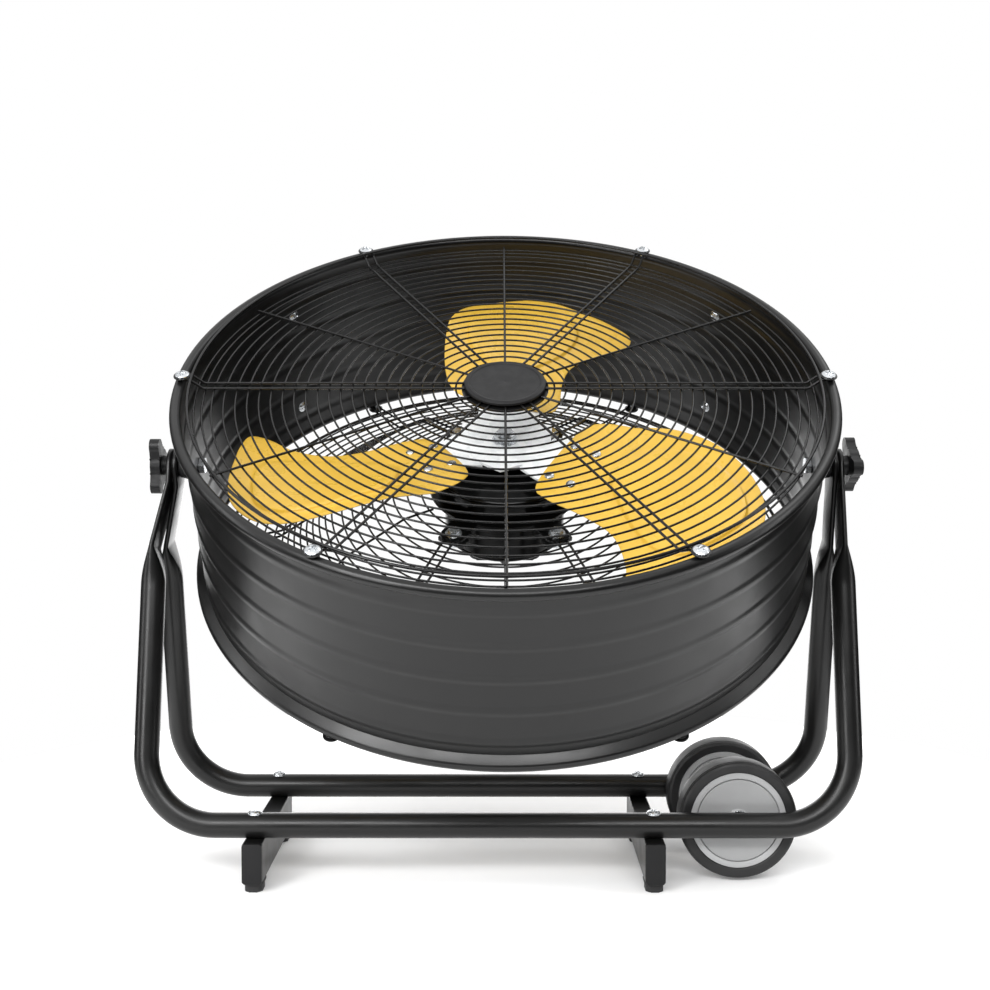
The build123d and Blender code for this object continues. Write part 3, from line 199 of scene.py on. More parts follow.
# ---------------------------------------------------------------- the stage
FLOOR_R = 0.8
FLOOR_DEPTH = 0.002
LIGHTS = (  # name, place, target, width, height, watts
    ("left_strip", (-1.9, -0.4, 0.8), (0, 0, 0.35), 0.35, 1.6, 9),
    ("right_strip", (1.9, -0.5, 0.9), (0, 0, 0.4), 0.35, 1.6, 8),
    ("overhead", (1.0, 0.4, 2.2), (0, 0, 0.3), 0.9, 0.9, 5),
    ("front_bar", (-0.2, -2.0, 1.5), (0, 0, 0.3), 2.2, 0.4, 40),
    ("left_tall", (-1.2, -1.6, 1.0), (0, 0, 0.3), 0.5, 1.5, 28),
)
CAMERA_PLACE = (-0.0006, -1.3958, 0.459)
CAMERA_TURN = (87.13, 0, 0.11)  # degrees
CAMERA_LENS = 48.76


# ---------------------------------------------------------------- settings
def size(label, note, default):
    """A length that a user may change."""
    return bpy.props.FloatProperty(
        name=label, description=note, default=default, min=0.0, unit="LENGTH", subtype="DISTANCE", precision=5
    )


def colour(label, note, default):
    """A paint or material colour that a user may change."""
    return bpy.props.FloatVectorProperty(
        name=label, description=note, default=default, min=0.0, max=1.0, size=3, subtype="COLOR"
    )


class DrumFanSizes(bpy.types.PropertyGroup):
    """The lengths that a user may change."""

    tube: size("Frame tube", "Outside diameter of the bent frame tube", TUBE)
    bend: size("Tube bend", "Radius of the frame's bends, at the tube's middle", 72 * MM)
    rib_pitch: size("Rib pitch", "Distance between the drum's pressed ribs", 38 * MM)
    rib_width: size("Rib width", "Width of a pressed rib", 14 * MM)
    rib_height: size("Rib height", "How far a rib stands out of the drum's wall", 0.9 * MM)
    ring_wire: size("Ring wire", "Diameter of the guards' rings", 2.0 * MM)
    spoke_wire: size("Spoke wire", "Diameter of the guards' spokes", 2.5 * MM)
    ring_pitch: size("Ring pitch", "Distance between the front guard's rings", 11.46 * MM)
    first_ring: size("First ring", "Radius of the front guard's innermost ring", 49.3 * MM)
    blade_sheet: size("Blade sheet", "Thickness of the pressed blades", 1.2 * MM)
    panel_raise: size("Panel height", "How far a blade's pressed panel stands up", 3.4 * MM)
    tread_groove: size("Tread groove", "Depth of the grooves along a tyre's shoulders", 0.8 * MM)
    knob_edge: size("Knob edge", "Rounding of the tilt knobs' edges", 2 * MM)


class DrumFanColours(bpy.types.PropertyGroup):
    """The colours that a user may change."""

    paint: colour("Black paint", "Powder coat on the drum, frames and handles", (0.005, 0.005, 0.005))
    wire: colour("Wire coat", "Coat on the guards' wires", (0.005, 0.005, 0.005))
    blade: colour("Blade paint", "Paint on the pressed blades", (0.705, 0.435, 0.05))
    galvanised: colour("Galvanised sheet", "The spider plate's zinc coat", (0.9, 0.93, 0.94))
    zinc: colour("Bright zinc", "Plated screws, nuts and rivets", (0.6, 0.62, 0.64))
    rubber: colour("Rubber", "Tyres and feet", (0.01, 0.01, 0.0105))
    plastic: colour("Black plastic", "Knobs, plugs, badge and switch box", (0.009, 0.009, 0.0095))
    wheel: colour("Wheel centre", "Moulded wheel centres", (0.345, 0.348, 0.351))
    floor: colour("Floor", "The stage's floor", (0.86, 0.86, 0.86))


# ---------------------------------------------------------------- mesh helpers
def rounded(points, radius, steps=4, closed=True):
    """The points with an arc of that radius at each corner, or the largest that fits."""
    out = []
    last = len(points) - 1
    for i, point in enumerate(points):
        here = Vector(point)
        if not closed and i in (0, last):
            out.append(here)
            continue
        back = Vector(points[i - 1]) - here
        ahead = Vector(points[(i + 1) % len(points)]) - here
        bend = math.pi - back.angle(ahead)
        if bend < 0.02 or radius <= 0:
            out.append(here)
            continue
        reach = min(radius * math.tan(bend / 2), 0.49 * back.length, 0.49 * ahead.length)
        arc_r = reach / math.tan(bend / 2)
        inwards = (back.normalized() + ahead.normalized()).normalized()
        centre = here + inwards * (arc_r / math.cos(bend / 2))
        start = here + back.normalized() * reach - centre
        end = here + ahead.normalized() * reach - centre
        for k in range(steps + 1):
            t = k / steps
            near = math.sin((1 - t) * bend) / math.sin(bend)
            out.append(centre + start * near + end * (math.sin(t * bend) / math.sin(bend)))
    return out


def arc(centre_a, centre_b, radius, first, last, steps):
    """Points on an arc from one angle to another, in degrees."""
    points = []
    for k in range(steps + 1):
        angle = math.radians(first + (last - first) * k / steps)
        points.append((centre_a + radius * math.cos(angle), centre_b + radius * math.sin(angle)))
    return points


def box_outline(width, height, radius, steps=5):
    """A rectangle with round corners, about the origin."""
    w, h = width / 2, height / 2
    return rounded([(-w, -h), (w, -h), (w, h), (-w, h)], radius, steps)


def stitch(bm, here, there):
    """Faces from one closed row of points to the next. Either row may be a single point."""
    count = max(len(here), len(there))
    if count == 1:
        return
    for k in range(count):
        m = (k + 1) % count
        corners = [here[k % len(here)], here[m % len(here)], there[m % len(there)], there[k % len(there)]]
        bm.faces.new(list(dict.fromkeys(corners)))


def lathe(profile, steps=96):
    """A closed outline of (radius, height) points turned about Z."""
    bm = bmesh.new()
    angles = [2 * math.pi * k / steps for k in range(steps)]
    rings = []
    for r, z in profile:
        if r < 1e-6:
            rings.append([bm.verts.new((0, 0, z))])
        else:
            rings.append([bm.verts.new((r * math.cos(a), r * math.sin(a), z)) for a in angles])
    for here, there in zip(rings, rings[1:] + rings[:1]):
        stitch(bm, here, there)
    return bm


def prism(outline, low, high, bevel=0.0, steps=3):
    """An outline raised along Z, with both rims rounded."""
    bm = bmesh.new()
    floor = [bm.verts.new((p[0], p[1], low)) for p in outline]
    roof = [bm.verts.new((p[0], p[1], high)) for p in outline]
    bm.faces.new(list(reversed(floor)))
    bm.faces.new(roof)
    count = len(outline)
    for i in range(count):
        j = (i + 1) % count
        bm.faces.new((floor[i], floor[j], roof[j], roof[i]))
    if bevel:
        rims = [e for e in bm.edges if abs(e.verts[0].co.z - e.verts[1].co.z) < 1e-9]
        bmesh.ops.bevel(bm, geom=rims, offset=bevel, segments=steps, profile=0.5, affect="EDGES")
    return bm


def skin(path, across, section):
    """Skins a closed section along a flat path. `across` is square to the path's plane."""
    bm = bmesh.new()
    rings = []
    last = len(path) - 1
    for i, point in enumerate(path):
        ahead = (path[min(i + 1, last)] - path[max(i - 1, 0)]).normalized()
        side = across.cross(ahead)
        rings.append([bm.verts.new(point + side * a + across * b) for a, b in section(point)])
    for here, there in zip(rings, rings[1:]):
        stitch(bm, here, there)
    bm.faces.new(list(reversed(rings[0])))
    bm.faces.new(rings[-1])
    return bm


def joined(*parts):
    """Several bmeshes in one, each given alone or with the place it goes to."""
    whole = bmesh.new()
    for part in parts:
        bm, place = part if isinstance(part, tuple) else (part, HERE)
        mesh = bpy.data.meshes.new("part")
        bm.to_mesh(mesh)
        bm.free()
        mesh.transform(place)
        whole.from_mesh(mesh)
        bpy.data.meshes.remove(mesh)
    return whole


def repeated(bm, places):
    """One bmesh put at several places."""
    return joined(*[(bm.copy(), place) for place in places])


def shift(x=0.0, y=0.0, z=0.0):
    """A move, in metres."""
    return Matrix.Translation((x, y, z))


def turn(degrees, axis="Z"):
    """A turn about an axis through the origin."""
    return Matrix.Rotation(math.radians(degrees), 4, axis)


def mesh_of(bm, name="source"):
    """Turns a bmesh into a mesh and frees it."""
    mesh = bpy.data.meshes.new(name)
    bm.to_mesh(mesh)
    bm.free()
    return mesh


def smoothed(bm, sharp):
    """Shades a bmesh smooth, and marks the edges that turn by that many degrees or more as sharp."""
    limit = math.radians(sharp)
    for face in bm.faces:
        face.smooth = True
    for edge in bm.edges:
        edge.smooth = edge.calc_face_angle(0.0) < limit


def show(name, bm, nodes, place=HERE, sharp=32):
    """Makes a finished piece: in place, shaded smooth up to the sharp angle, on its nodes' body and slot."""
    bmesh.ops.transform(bm, matrix=place, verts=bm.verts)
    bmesh.ops.remove_doubles(bm, verts=bm.verts, dist=1e-7)
    bmesh.ops.recalc_face_normals(bm, faces=bm.faces)
    smoothed(bm, sharp)
    return settle(name, mesh_of(bm, name), nodes)


def settle(name, mesh, nodes):
    """Puts a mesh that is already in place into the scene and on its body."""
    piece = bpy.data.objects.new(name, mesh)
    bpy.context.scene.collection.objects.link(piece)
    mesh.materials.clear()
    mesh.materials.append(finish_of(SLOTS[nodes[0]]))
    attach(piece, BODIES[nodes[0]])
    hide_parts(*nodes)
    return piece


def dressed(node, bevel=0.0):
    """A copy of a node's mesh with its loose triangles merged, smooth where the real piece is."""
    bm = bmesh.new()
    bm.from_mesh(frame["nodes"][node].data)
    bmesh.ops.remove_doubles(bm, verts=bm.verts, dist=1e-6)
    bmesh.ops.dissolve_limit(bm, angle_limit=math.radians(1), verts=bm.verts, edges=bm.edges)
    piece = show(node + "_look", bm, [node], sharp=30)
    if bevel:
        modifier = piece.modifiers.new("edges", "BEVEL")
        modifier.width = bevel
        modifier.segments = 2
        modifier.limit_method = "ANGLE"
        modifier.angle_limit = math.radians(50)
        modifier.harden_normals = True


def dress(**bevels):
    """Dresses several nodes, each with its edges rounded by that many millimetres."""
    for node, bevel in bevels.items():
        dressed(node, bevel * MM)


# ---------------------------------------------------------------- geometry nodes helpers
class Tree:
    """A small builder of Geometry Nodes trees with named inputs."""

    def __init__(self, name, **inputs):
        self.tree = bpy.data.node_groups.new(name, "GeometryNodeTree")
        self.ids = {}
        kinds = {"geometry": "NodeSocketGeometry", "material": "NodeSocketMaterial", "count": "NodeSocketInt"}
        for label, value in inputs.items():
            kind = kinds.get(label.split("_")[-1], "NodeSocketFloat")
            socket = self.tree.interface.new_socket(
                label.replace("_", " ").capitalize(), in_out="INPUT", socket_type=kind
            )
            if value is not None:
                socket.default_value = value
            self.ids[label] = socket.identifier
        self.tree.interface.new_socket("Geometry", in_out="OUTPUT", socket_type="NodeSocketGeometry")
        self.group_in = self.tree.nodes.new("NodeGroupInput")
        self.group_out = self.tree.nodes.new("NodeGroupOutput")

    def get(self, label):
        """The socket that carries a named input."""
        return next(s for s in self.group_in.outputs if s.identifier == self.ids[label])

    def add(self, kind, links=None, **settings):
        """A new node with its settings, and its inputs linked to sockets or set to values."""
        node = self.tree.nodes.new(kind)
        for key, value in settings.items():
            setattr(node, key, value)
        for key, value in (links or {}).items():
            socket = node.inputs[key]
            if isinstance(value, bpy.types.NodeSocket):
                self.tree.links.new(value, socket)
            else:
                socket.default_value = value
        return node

    def maths(self, operation, a, b=0.0):
        """The result of a Math node on two values or sockets."""
        return self.add("ShaderNodeMath", {0: a, 1: b}, operation=operation).outputs[0]

    def finish(self, geometry):
        """Ends the tree: Realize Instances, then Set Material."""
        real = self.add("GeometryNodeRealizeInstances", {"Geometry": geometry}).outputs[0]
        smooth = self.add("GeometryNodeSetShadeSmooth", {"Geometry": real}).outputs[0]
        painted = self.add("GeometryNodeSetMaterial", {"Geometry": smooth, "Material": self.get("material")})
        self.tree.links.new(painted.outputs[0], self.group_out.inputs[0])

    def run(self, name, mesh, place, **values):
        """The plain mesh that the tree makes from a mesh and these inputs, moved to its place."""
        holder = bpy.data.objects.new(name + "_holder", mesh)
        bpy.context.scene.collection.objects.link(holder)
        modifier = holder.modifiers.new("build", "NODES")
        modifier.node_group = self.tree
        for label, value in values.items():
            modifier[self.ids[label]] = value
        bpy.context.view_layer.update()
        graph = bpy.context.evaluated_depsgraph_get()
        made = bpy.data.meshes.new_from_object(holder.evaluated_get(graph))
        holder.modifiers.remove(modifier)
        bpy.data.objects.remove(holder)
        made.name = name
        made.transform(place)
        return made


def wire_path(points):
    """A mesh of edges only, for a tree that turns it into wire."""
    mesh = bpy.data.meshes.new("path")
    mesh.from_pydata([tuple(p) for p in points], [(i, i + 1) for i in range(len(points) - 1)], [])
    return mesh


def ring_tree():
    """Wire rings one outside another, evenly spaced in radius and in height."""
    tree = Tree(
        "Wire rings", geometry=None, ring_count=24, first_radius=0.05, radius_step=0.01, first_height=0.0,
        height_step=0.0, wire=0.003, material=None,
    )
    start = tree.add("ShaderNodeCombineXYZ", {"Z": tree.get("first_height")}).outputs[0]
    step = tree.add("ShaderNodeCombineXYZ", {"Z": tree.get("height_step")}).outputs[0]
    line = tree.add(
        "GeometryNodeMeshLine", {"Count": tree.get("ring_count"), "Start Location": start, "Offset": step},
        mode="OFFSET",
    )
    number = tree.add("GeometryNodeInputIndex").outputs[0]
    spread = tree.maths("MULTIPLY", number, tree.get("radius_step"))
    radius = tree.maths("ADD", spread, tree.get("first_radius"))
    scale = tree.add("ShaderNodeCombineXYZ", {"X": radius, "Y": radius, "Z": 1.0}).outputs[0]
    circle = tree.add("GeometryNodeCurvePrimitiveCircle", {"Resolution": 144, "Radius": 1.0}).outputs[0]
    rings = tree.add(
        "GeometryNodeInstanceOnPoints", {"Points": line.outputs[0], "Instance": circle, "Scale": scale}
    ).outputs[0]
    real = tree.add("GeometryNodeRealizeInstances", {"Geometry": rings}).outputs[0]
    tree.finish(wire_round(tree, real))
    return tree


def wire_round(tree, curves):
    """Gives curves a round section of the tree's wire."""
    half = tree.maths("MULTIPLY", tree.get("wire"), 0.5)
    section = tree.add("GeometryNodeCurvePrimitiveCircle", {"Resolution": 10, "Radius": half}).outputs[0]
    return tree.add(
        "GeometryNodeCurveToMesh", {"Curve": curves, "Profile Curve": section, "Fill Caps": True}
    ).outputs[0]


def turned_points(tree):
    """Points on the axis with one turn each, for copies spread evenly about Z."""
    line = tree.add(
        "GeometryNodeMeshLine", {"Count": tree.get("copy_count"), "Offset": (0, 0, 0)}, mode="OFFSET"
    )
    number = tree.add("GeometryNodeInputIndex").outputs[0]
    share = tree.maths("DIVIDE", number, tree.get("copy_count"))
    angle = tree.maths("ADD", tree.maths("MULTIPLY", share, 2 * math.pi), tree.get("start_angle"))
    turn_by = tree.add("ShaderNodeCombineXYZ", {"Z": angle}).outputs[0]
    return line.outputs[0], turn_by


def spoke_tree():
    """One wire path repeated about the axis."""
    tree = Tree("Wire spokes", geometry=None, copy_count=6, start_angle=0.0, wire=0.003, material=None)
    points, turn_by = turned_points(tree)
    curve = tree.add("GeometryNodeMeshToCurve", {"Mesh": tree.get("geometry")}).outputs[0]
    copies = tree.add(
        "GeometryNodeInstanceOnPoints", {"Points": points, "Instance": curve, "Rotation": turn_by}
    ).outputs[0]
    real = tree.add("GeometryNodeRealizeInstances", {"Geometry": copies}).outputs[0]
    tree.finish(wire_round(tree, real))
    return tree


def fixing_tree():
    """One fixing repeated about the axis at a radius, each turned about its own axis by chance."""
    tree = Tree(
        "Fixings", geometry=None, copy_count=6, start_angle=0.0, circle_radius=0.3, chance_turn=0.0,
        seed_count=7, material=None,
    )
    points, turn_by = turned_points(tree)
    out = tree.add("ShaderNodeCombineXYZ", {"X": tree.get("circle_radius")}).outputs[0]
    chance = tree.add(
        "FunctionNodeRandomValue", {"Max": tree.get("chance_turn"), "Seed": tree.get("seed_count")},
        data_type="FLOAT",
    )
    spin = tree.add("ShaderNodeCombineXYZ", {"Z": chance.outputs[1]}).outputs[0]
    copies = tree.add(
        "GeometryNodeInstanceOnPoints",
        {"Points": points, "Instance": tree.get("geometry"), "Rotation": turn_by},
    ).outputs[0]
    spun = tree.add(
        "GeometryNodeRotateInstances", {"Instances": copies, "Rotation": spin, "Local Space": True}
    ).outputs[0]
    way = tree.add(
        "ShaderNodeVectorRotate", {"Vector": out, "Rotation": turn_by}, rotation_type="EULER_XYZ"
    ).outputs[0]
    placed = tree.add(
        "GeometryNodeTranslateInstances", {"Instances": spun, "Translation": way, "Local Space": False}
    ).outputs[0]
    tree.finish(placed)
    return tree


def sharpened(mesh, sharp=32):
    """Marks a plain mesh smooth with its sharp edges kept."""
    bm = bmesh.new()
    bm.from_mesh(mesh)
    smoothed(bm, sharp)
    bm.to_mesh(mesh)
    bm.free()
    return mesh


# ---------------------------------------------------------------- materials
class Shader:
    """A material whose nodes read Object coordinates. Bumps are stacked in the order they are asked for."""

    def __init__(self, name, colour, metallic, roughness):
        self.material = bpy.data.materials.new(name)
        self.material.use_nodes = True
        self.nodes = self.material.node_tree.nodes
        self.links = self.material.node_tree.links
        self.bsdf = self.nodes["Principled BSDF"]
        self.bsdf.inputs["Base Color"].default_value = (*colour, 1)
        self.bsdf.inputs["Metallic"].default_value = metallic
        self.bsdf.inputs["Roughness"].default_value = roughness
        self.colour = colour
        self.place = self.nodes.new("ShaderNodeTexCoord").outputs["Object"]
        self.heights = []

    def noise(self, scale, detail=3.0, stretch=None):
        """Soft noise, drawn out along the axes where `stretch` is small."""
        place = self.place
        if stretch:
            mapping = self.nodes.new("ShaderNodeMapping")
            mapping.inputs["Scale"].default_value = stretch
            self.links.new(place, mapping.inputs["Vector"])
            place = mapping.outputs[0]
        node = self.nodes.new("ShaderNodeTexNoise")
        node.inputs["Scale"].default_value = scale
        node.inputs["Detail"].default_value = detail
        self.links.new(place, node.inputs["Vector"])
        return node.outputs["Fac"]

    def cells(self, scale):
        """A flat grey for each of many small cells."""
        node = self.nodes.new("ShaderNodeTexVoronoi")
        node.inputs["Scale"].default_value = scale
        self.links.new(self.place, node.inputs["Vector"])
        grey = self.nodes.new("ShaderNodeRGBToBW")
        self.links.new(node.outputs["Color"], grey.inputs[0])
        return grey.outputs[0]

    def distance(self, centre=(0, 0, 0), along=(1, 1, 1)):
        """How far a point is from a centre, counting only the axes whose share in `along` isn't 0."""
        mapping = self.nodes.new("ShaderNodeMapping")
        mapping.inputs["Location"].default_value = [-c * share for c, share in zip(centre, along)]
        mapping.inputs["Scale"].default_value = along
        self.links.new(self.place, mapping.inputs["Vector"])
        length = self.nodes.new("ShaderNodeVectorMath")
        length.operation = "LENGTH"
        self.links.new(mapping.outputs[0], length.inputs[0])
        return length.outputs["Value"]

    def total(self, a, b):
        """The sum of two values."""
        node = self.nodes.new("ShaderNodeMath")
        self.links.new(a, node.inputs[0])
        self.links.new(b, node.inputs[1])
        return node.outputs[0]

    def ramp(self, value, low, high, from_low=0.35, from_high=0.65):
        """The value spread from one range to another, and held at both ends."""
        node = self.nodes.new("ShaderNodeMapRange")
        levels = {"From Min": from_low, "From Max": from_high, "To Min": low, "To Max": high}
        for key, number in levels.items():
            node.inputs[key].default_value = number
        self.links.new(value, node.inputs["Value"])
        return node.outputs[0]

    def tint(self, value, amount):
        """Lets the colour wander by that share, following the value."""
        node = self.nodes.new("ShaderNodeMix")
        node.data_type = "RGBA"
        node.inputs["A"].default_value = (*[c * (1 - amount) for c in self.colour], 1)
        node.inputs["B"].default_value = (*[min(1.0, c * (1 + amount)) for c in self.colour], 1)
        self.links.new(value, node.inputs["Factor"])
        self.links.new(node.outputs["Result"], self.bsdf.inputs["Base Color"])

    def rough(self, value, low, high):
        """Lets the roughness wander between two levels."""
        self.links.new(self.ramp(value, low, high), self.bsdf.inputs["Roughness"])

    def bump(self, value, height, strength=0.5):
        """Fine relief of that height in metres, on top of what is there already."""
        node = self.nodes.new("ShaderNodeBump")
        node.inputs["Strength"].default_value = strength
        node.inputs["Distance"].default_value = height
        self.links.new(value, node.inputs["Height"])
        if self.heights:
            self.links.new(self.heights[-1], node.inputs["Normal"])
        self.heights.append(node.outputs[0])
        self.links.new(node.outputs[0], self.bsdf.inputs["Normal"])


def powder_coat(name, colour, roughness, gloss=0.5):
    """Black paint with a fine orange peel and faintly uneven gloss."""
    s = Shader(name, colour, 0.0, roughness)
    s.tint(s.ramp(s.noise(9), 0, 1), 0.12)
    s.rough(s.noise(26), roughness - 0.04, roughness + 0.05)
    s.bump(s.noise(900, 2), 0.00006, 0.3)
    s.bump(s.noise(60, 2), 0.0002, 0.08)
    s.bsdf.inputs["Specular IOR Level"].default_value = gloss
    return s.material


def black_paint(colours):
    """The drum's, the frames' and the handles' coat."""
    return powder_coat("black powder coat", colours.paint, 0.33, 0.38)


def wire_coat(colours):
    """The guards' coat, glossier than the drum's but with fainter highlights."""
    return powder_coat("black wire coat", colours.wire, 0.24, 0.28)


def motor_enamel_with_painted_shade(colours):
    """The motor's deep black: partly its own black enamel, partly painted shade, the black paint darkened to
    0.4 so that it stays dark inside the drum.
    """
    # Painted shade: a darker copy of the black paint stands in for the shade inside the drum.
    return powder_coat("motor enamel with painted shade", [c * 0.4 for c in colours.paint], 0.16, 0.14)


def blade_paint(colours):
    """Warm yellow paint, satin, with the press's faint waviness."""
    s = Shader("yellow blade paint", colours.blade, 0.0, 0.3)
    s.tint(s.ramp(s.noise(14), 0, 1), 0.05)
    s.rough(s.noise(40), 0.26, 0.35)
    s.bump(s.noise(700, 2), 0.00006, 0.25)
    s.bump(s.noise(16, 2), 0.0005, 0.06)
    return s.material


def galvanised_sheet(colours):
    """Zinc-dipped sheet with its spangle."""
    s = Shader("galvanised sheet", colours.galvanised, 0.1, 0.45)
    spangle = s.cells(140)
    s.tint(spangle, 0.1)
    s.rough(spangle, 0.38, 0.52)
    s.bump(s.noise(500, 2), 0.00005, 0.3)
    return s.material


def bright_zinc(colours):
    """Zinc-plated fixings."""
    s = Shader("bright zinc", colours.zinc, 1.0, 0.26)
    s.tint(s.ramp(s.noise(120), 0, 1), 0.12)
    s.rough(s.noise(260), 0.22, 0.32)
    s.bump(s.noise(1500, 2), 0.00004, 0.3)
    return s.material


def turned_steel(colours):
    """Bare machined steel, with turning marks round it."""
    s = Shader("turned steel", [c * 0.8 for c in colours.zinc], 1.0, 0.3)
    s.rough(s.noise(200, 2, (1, 1, 12)), 0.24, 0.4)
    s.bump(s.noise(900, 2, (1, 1, 10)), 0.00003, 0.3)
    return s.material


def lamination_iron(colours):
    """Stacked iron sheet inside the motor."""
    s = Shader("lamination iron", [c * 0.4 for c in colours.zinc], 0.8, 0.55)
    s.tint(s.ramp(s.noise(50), 0, 1), 0.2)
    s.bump(s.noise(600, 2), 0.0001, 0.4)
    return s.material


def black_plastic(colours):
    """Moulded plastic with a fine spark-eroded grain."""
    s = Shader("black plastic", colours.plastic, 0.0, 0.42)
    s.tint(s.ramp(s.noise(30), 0, 1), 0.1)
    s.rough(s.noise(120), 0.4, 0.52)
    s.bump(s.cells(1600), 0.00006, 0.35)
    s.bsdf.inputs["Specular IOR Level"].default_value = 0.24
    return s.material


def wheel_plastic(colours):
    """Grey moulded wheel centre with faint flow marks, and a lighter band outside its groove."""
    s = Shader("grey wheel plastic", colours.wheel, 0.0, 0.38)
    from_axle = s.distance(WHEEL_CENTRES["front"], (1, 0, 1))
    band = s.ramp(from_axle, 0, 0.75, from_low=WHEEL_GROOVE_R - MM, from_high=WHEEL_GROOVE_R)
    s.tint(s.total(s.ramp(s.noise(24, 4), 0, 0.25), band), 0.12)
    s.rough(s.noise(60), 0.32, 0.46)
    s.bump(s.noise(900, 2), 0.00005, 0.3)
    return s.material


def foot_rubber(colours):
    """Coarse moulded rubber."""
    s = Shader("foot rubber", colours.rubber, 0.0, 0.62)
    s.tint(s.ramp(s.noise(60), 0, 1), 0.15)
    s.bump(s.noise(1200, 3), 0.00012, 0.45)
    return s.material


def tyre_rubber(colours):
    """Smooth moulded rubber, a little dusty."""
    s = Shader("tyre rubber", colours.rubber, 0.0, 0.5)
    s.tint(s.ramp(s.noise(18, 5), 0, 1), 0.25)
    s.rough(s.noise(40), 0.44, 0.6)
    s.bump(s.noise(1000, 3), 0.0001, 0.35)
    return s.material


FINISHES = {
    "black_steel": black_paint,
    "black_wire": wire_coat,
    "motor_black": motor_enamel_with_painted_shade,
    "yellow_blade": blade_paint,
    "galvanised": galvanised_sheet,
    "zinc": bright_zinc,
    "bare_steel": turned_steel,
    "iron": lamination_iron,
    "black_plastic": black_plastic,
    "grey_plastic": wheel_plastic,
    "rubber": foot_rubber,
    "tyre": tyre_rubber,
}
made_finishes = {}


def finish_of(slot):
    """The material of a slot, made when it is first asked for."""
    if slot not in made_finishes:
        made_finishes[slot] = FINISHES[slot](bpy.context.scene.drum_fan_colours)
    return made_finishes[slot]


# ---------------------------------------------------------------- small parts
def pan_head(radius, height, shank_r, shank):
    """A cross-recess pan-head screw, its head's underside at the origin."""
    bm = bmesh.new()
    steps, rings = 32, 12
    rows = [[bm.verts.new((0, 0, height * 0.55))]]
    for j in range(1, rings + 1):
        r = radius * j / rings
        row = []
        for k in range(steps):
            angle = 2 * math.pi * k / steps
            x, y = r * math.cos(angle), r * math.sin(angle)
            z = height * (1 - 0.55 * (j / rings) ** 3.5)
            cross = r < 0.6 * radius and min(abs(x), abs(y)) < 0.13 * radius
            row.append(bm.verts.new((x, y, z - (0.45 * height if cross else 0))))
        rows.append(row)
    rows.append([bm.verts.new((v.co.x, v.co.y, 0)) for v in rows[-1]])
    rows.append([bm.verts.new((v.co.x * shank_r / radius, v.co.y * shank_r / radius, 0)) for v in rows[-1]])
    rows.append([bm.verts.new((v.co.x, v.co.y, -shank)) for v in rows[-1]])
    for here, there in zip(rows, rows[1:]):
        stitch(bm, here, there)
    bm.faces.new(list(reversed(rows[-1])))
    return bm


def hexagon(corner_r, low, high, bevel):
    """A plain hexagon nut."""
    angles = [math.radians(60 * k) for k in range(6)]
    outline = [Vector((corner_r * math.cos(a), corner_r * math.sin(a))) for a in angles]
    return prism(outline, low, high, bevel, 2)


def washer(outer, inner, low, high):
    """A flat washer with softened edges."""
    ring = rounded([(inner, low), (outer, low), (outer, high), (inner, high)], 0.25 * (high - low), 3)
    return lathe(ring, 40)


# ---------------------------------------------------------------- stand
def tube_section(tube, point):
    """The tube's section at a point of a leg: round, then flattened towards the pivot."""
    r = tube / 2
    flat, broad = LEG_FLAT / 2, LEG_FLAT_WIDTH / 2
    thick, wide = r, r
    if point.y > 0:
        thick, wide = flat, math.sqrt(max(LEG_FLAT_WIDTH**2 / 4 - point.y**2, flat**2))
    elif point.y > -LEG_FLAT_LENGTH:
        thick, wide = flat, broad
    elif point.y > -(LEG_FLAT_LENGTH + LEG_TAPER):
        t = (-point.y - LEG_FLAT_LENGTH) / LEG_TAPER
        thick = flat + (r - flat) * math.sin(t * math.pi / 2) ** 1.2
        wide = broad + (r - broad) * t * t * (3 - 2 * t)
    points_each_end = 20
    section = []
    for end in (1, -1):
        for k in range(points_each_end):
            angle = math.radians(-90 + 180 * (k + 0.5) / points_each_end)
            section.append((end * thick * math.sin(angle), end * (wide - thick + thick * math.cos(angle))))
    return section


def leg_points(tube_x, top_x):
    """A leg's middle line from its eye down to the round tube, leaning over along its flattened part."""
    eye = [math.radians(a) for a in (83, 74, 64, 52, 38, 20, 0)]
    points = [(top_x, LEG_FLAT_WIDTH / 2 * math.sin(a)) for a in eye]
    run = 6 * MM
    lean = [
        (top_x, -LEG_EYE + run), (top_x, -LEG_EYE),
        (tube_x, -LEG_FLAT_LENGTH), (tube_x, -LEG_FLAT_LENGTH - run),
    ]
    points += [tuple(p) for p in rounded(lean, 30 * MM, 6, closed=False)]
    points += [(tube_x, -LEG_FLAT_LENGTH - LEG_TAPER * k / 16) for k in range(3, 17)]
    return [Vector((x, y, 0)) for x, y in points]


def bent_frame(width, top, tube, bend):
    """A U-shaped tube in its own plane: the pivots are at y = 0."""
    half = width / 2
    length = math.hypot(BASE_Y, PIVOT.z - BASE_Z)
    left = leg_points(-half, PIVOT.x - top)
    right = leg_points(half, PIVOT.x + top)
    start = left[-1].y - MM
    base = rounded([(-half, start), (-half, -length), (half, -length), (half, start)], bend, 32, closed=False)
    path = left + [Vector((p[0], p[1], 0)) for p in base] + list(reversed(right))
    return skin(path, Vector((0, 0, 1)), lambda point: tube_section(tube, point))


def leg_lean():
    """How far the frames lean from upright, in degrees."""
    return math.degrees(math.atan2(BASE_Y, PIVOT.z - BASE_Z))


class DRUMFAN_OT_frames(bpy.types.Operator):
    """Builds the two bent tube frames."""

    bl_idname = "drumfan.frames"
    bl_label = "Tube frames"

    def execute(self, context):
        sizes = context.scene.drum_fan_sizes
        for side, lean in (("front", leg_lean()), ("rear", -leg_lean())):
            place = shift(z=PIVOT.z) @ turn(90 - lean, "X")
            bm = bent_frame(FRAME_WIDTHS[side], LEG_TOPS[side], sizes.tube, sizes.bend)
            show(side + "_frame_tube", bm, [side + "_frame"], place, sharp=40)
        return {"FINISHED"}


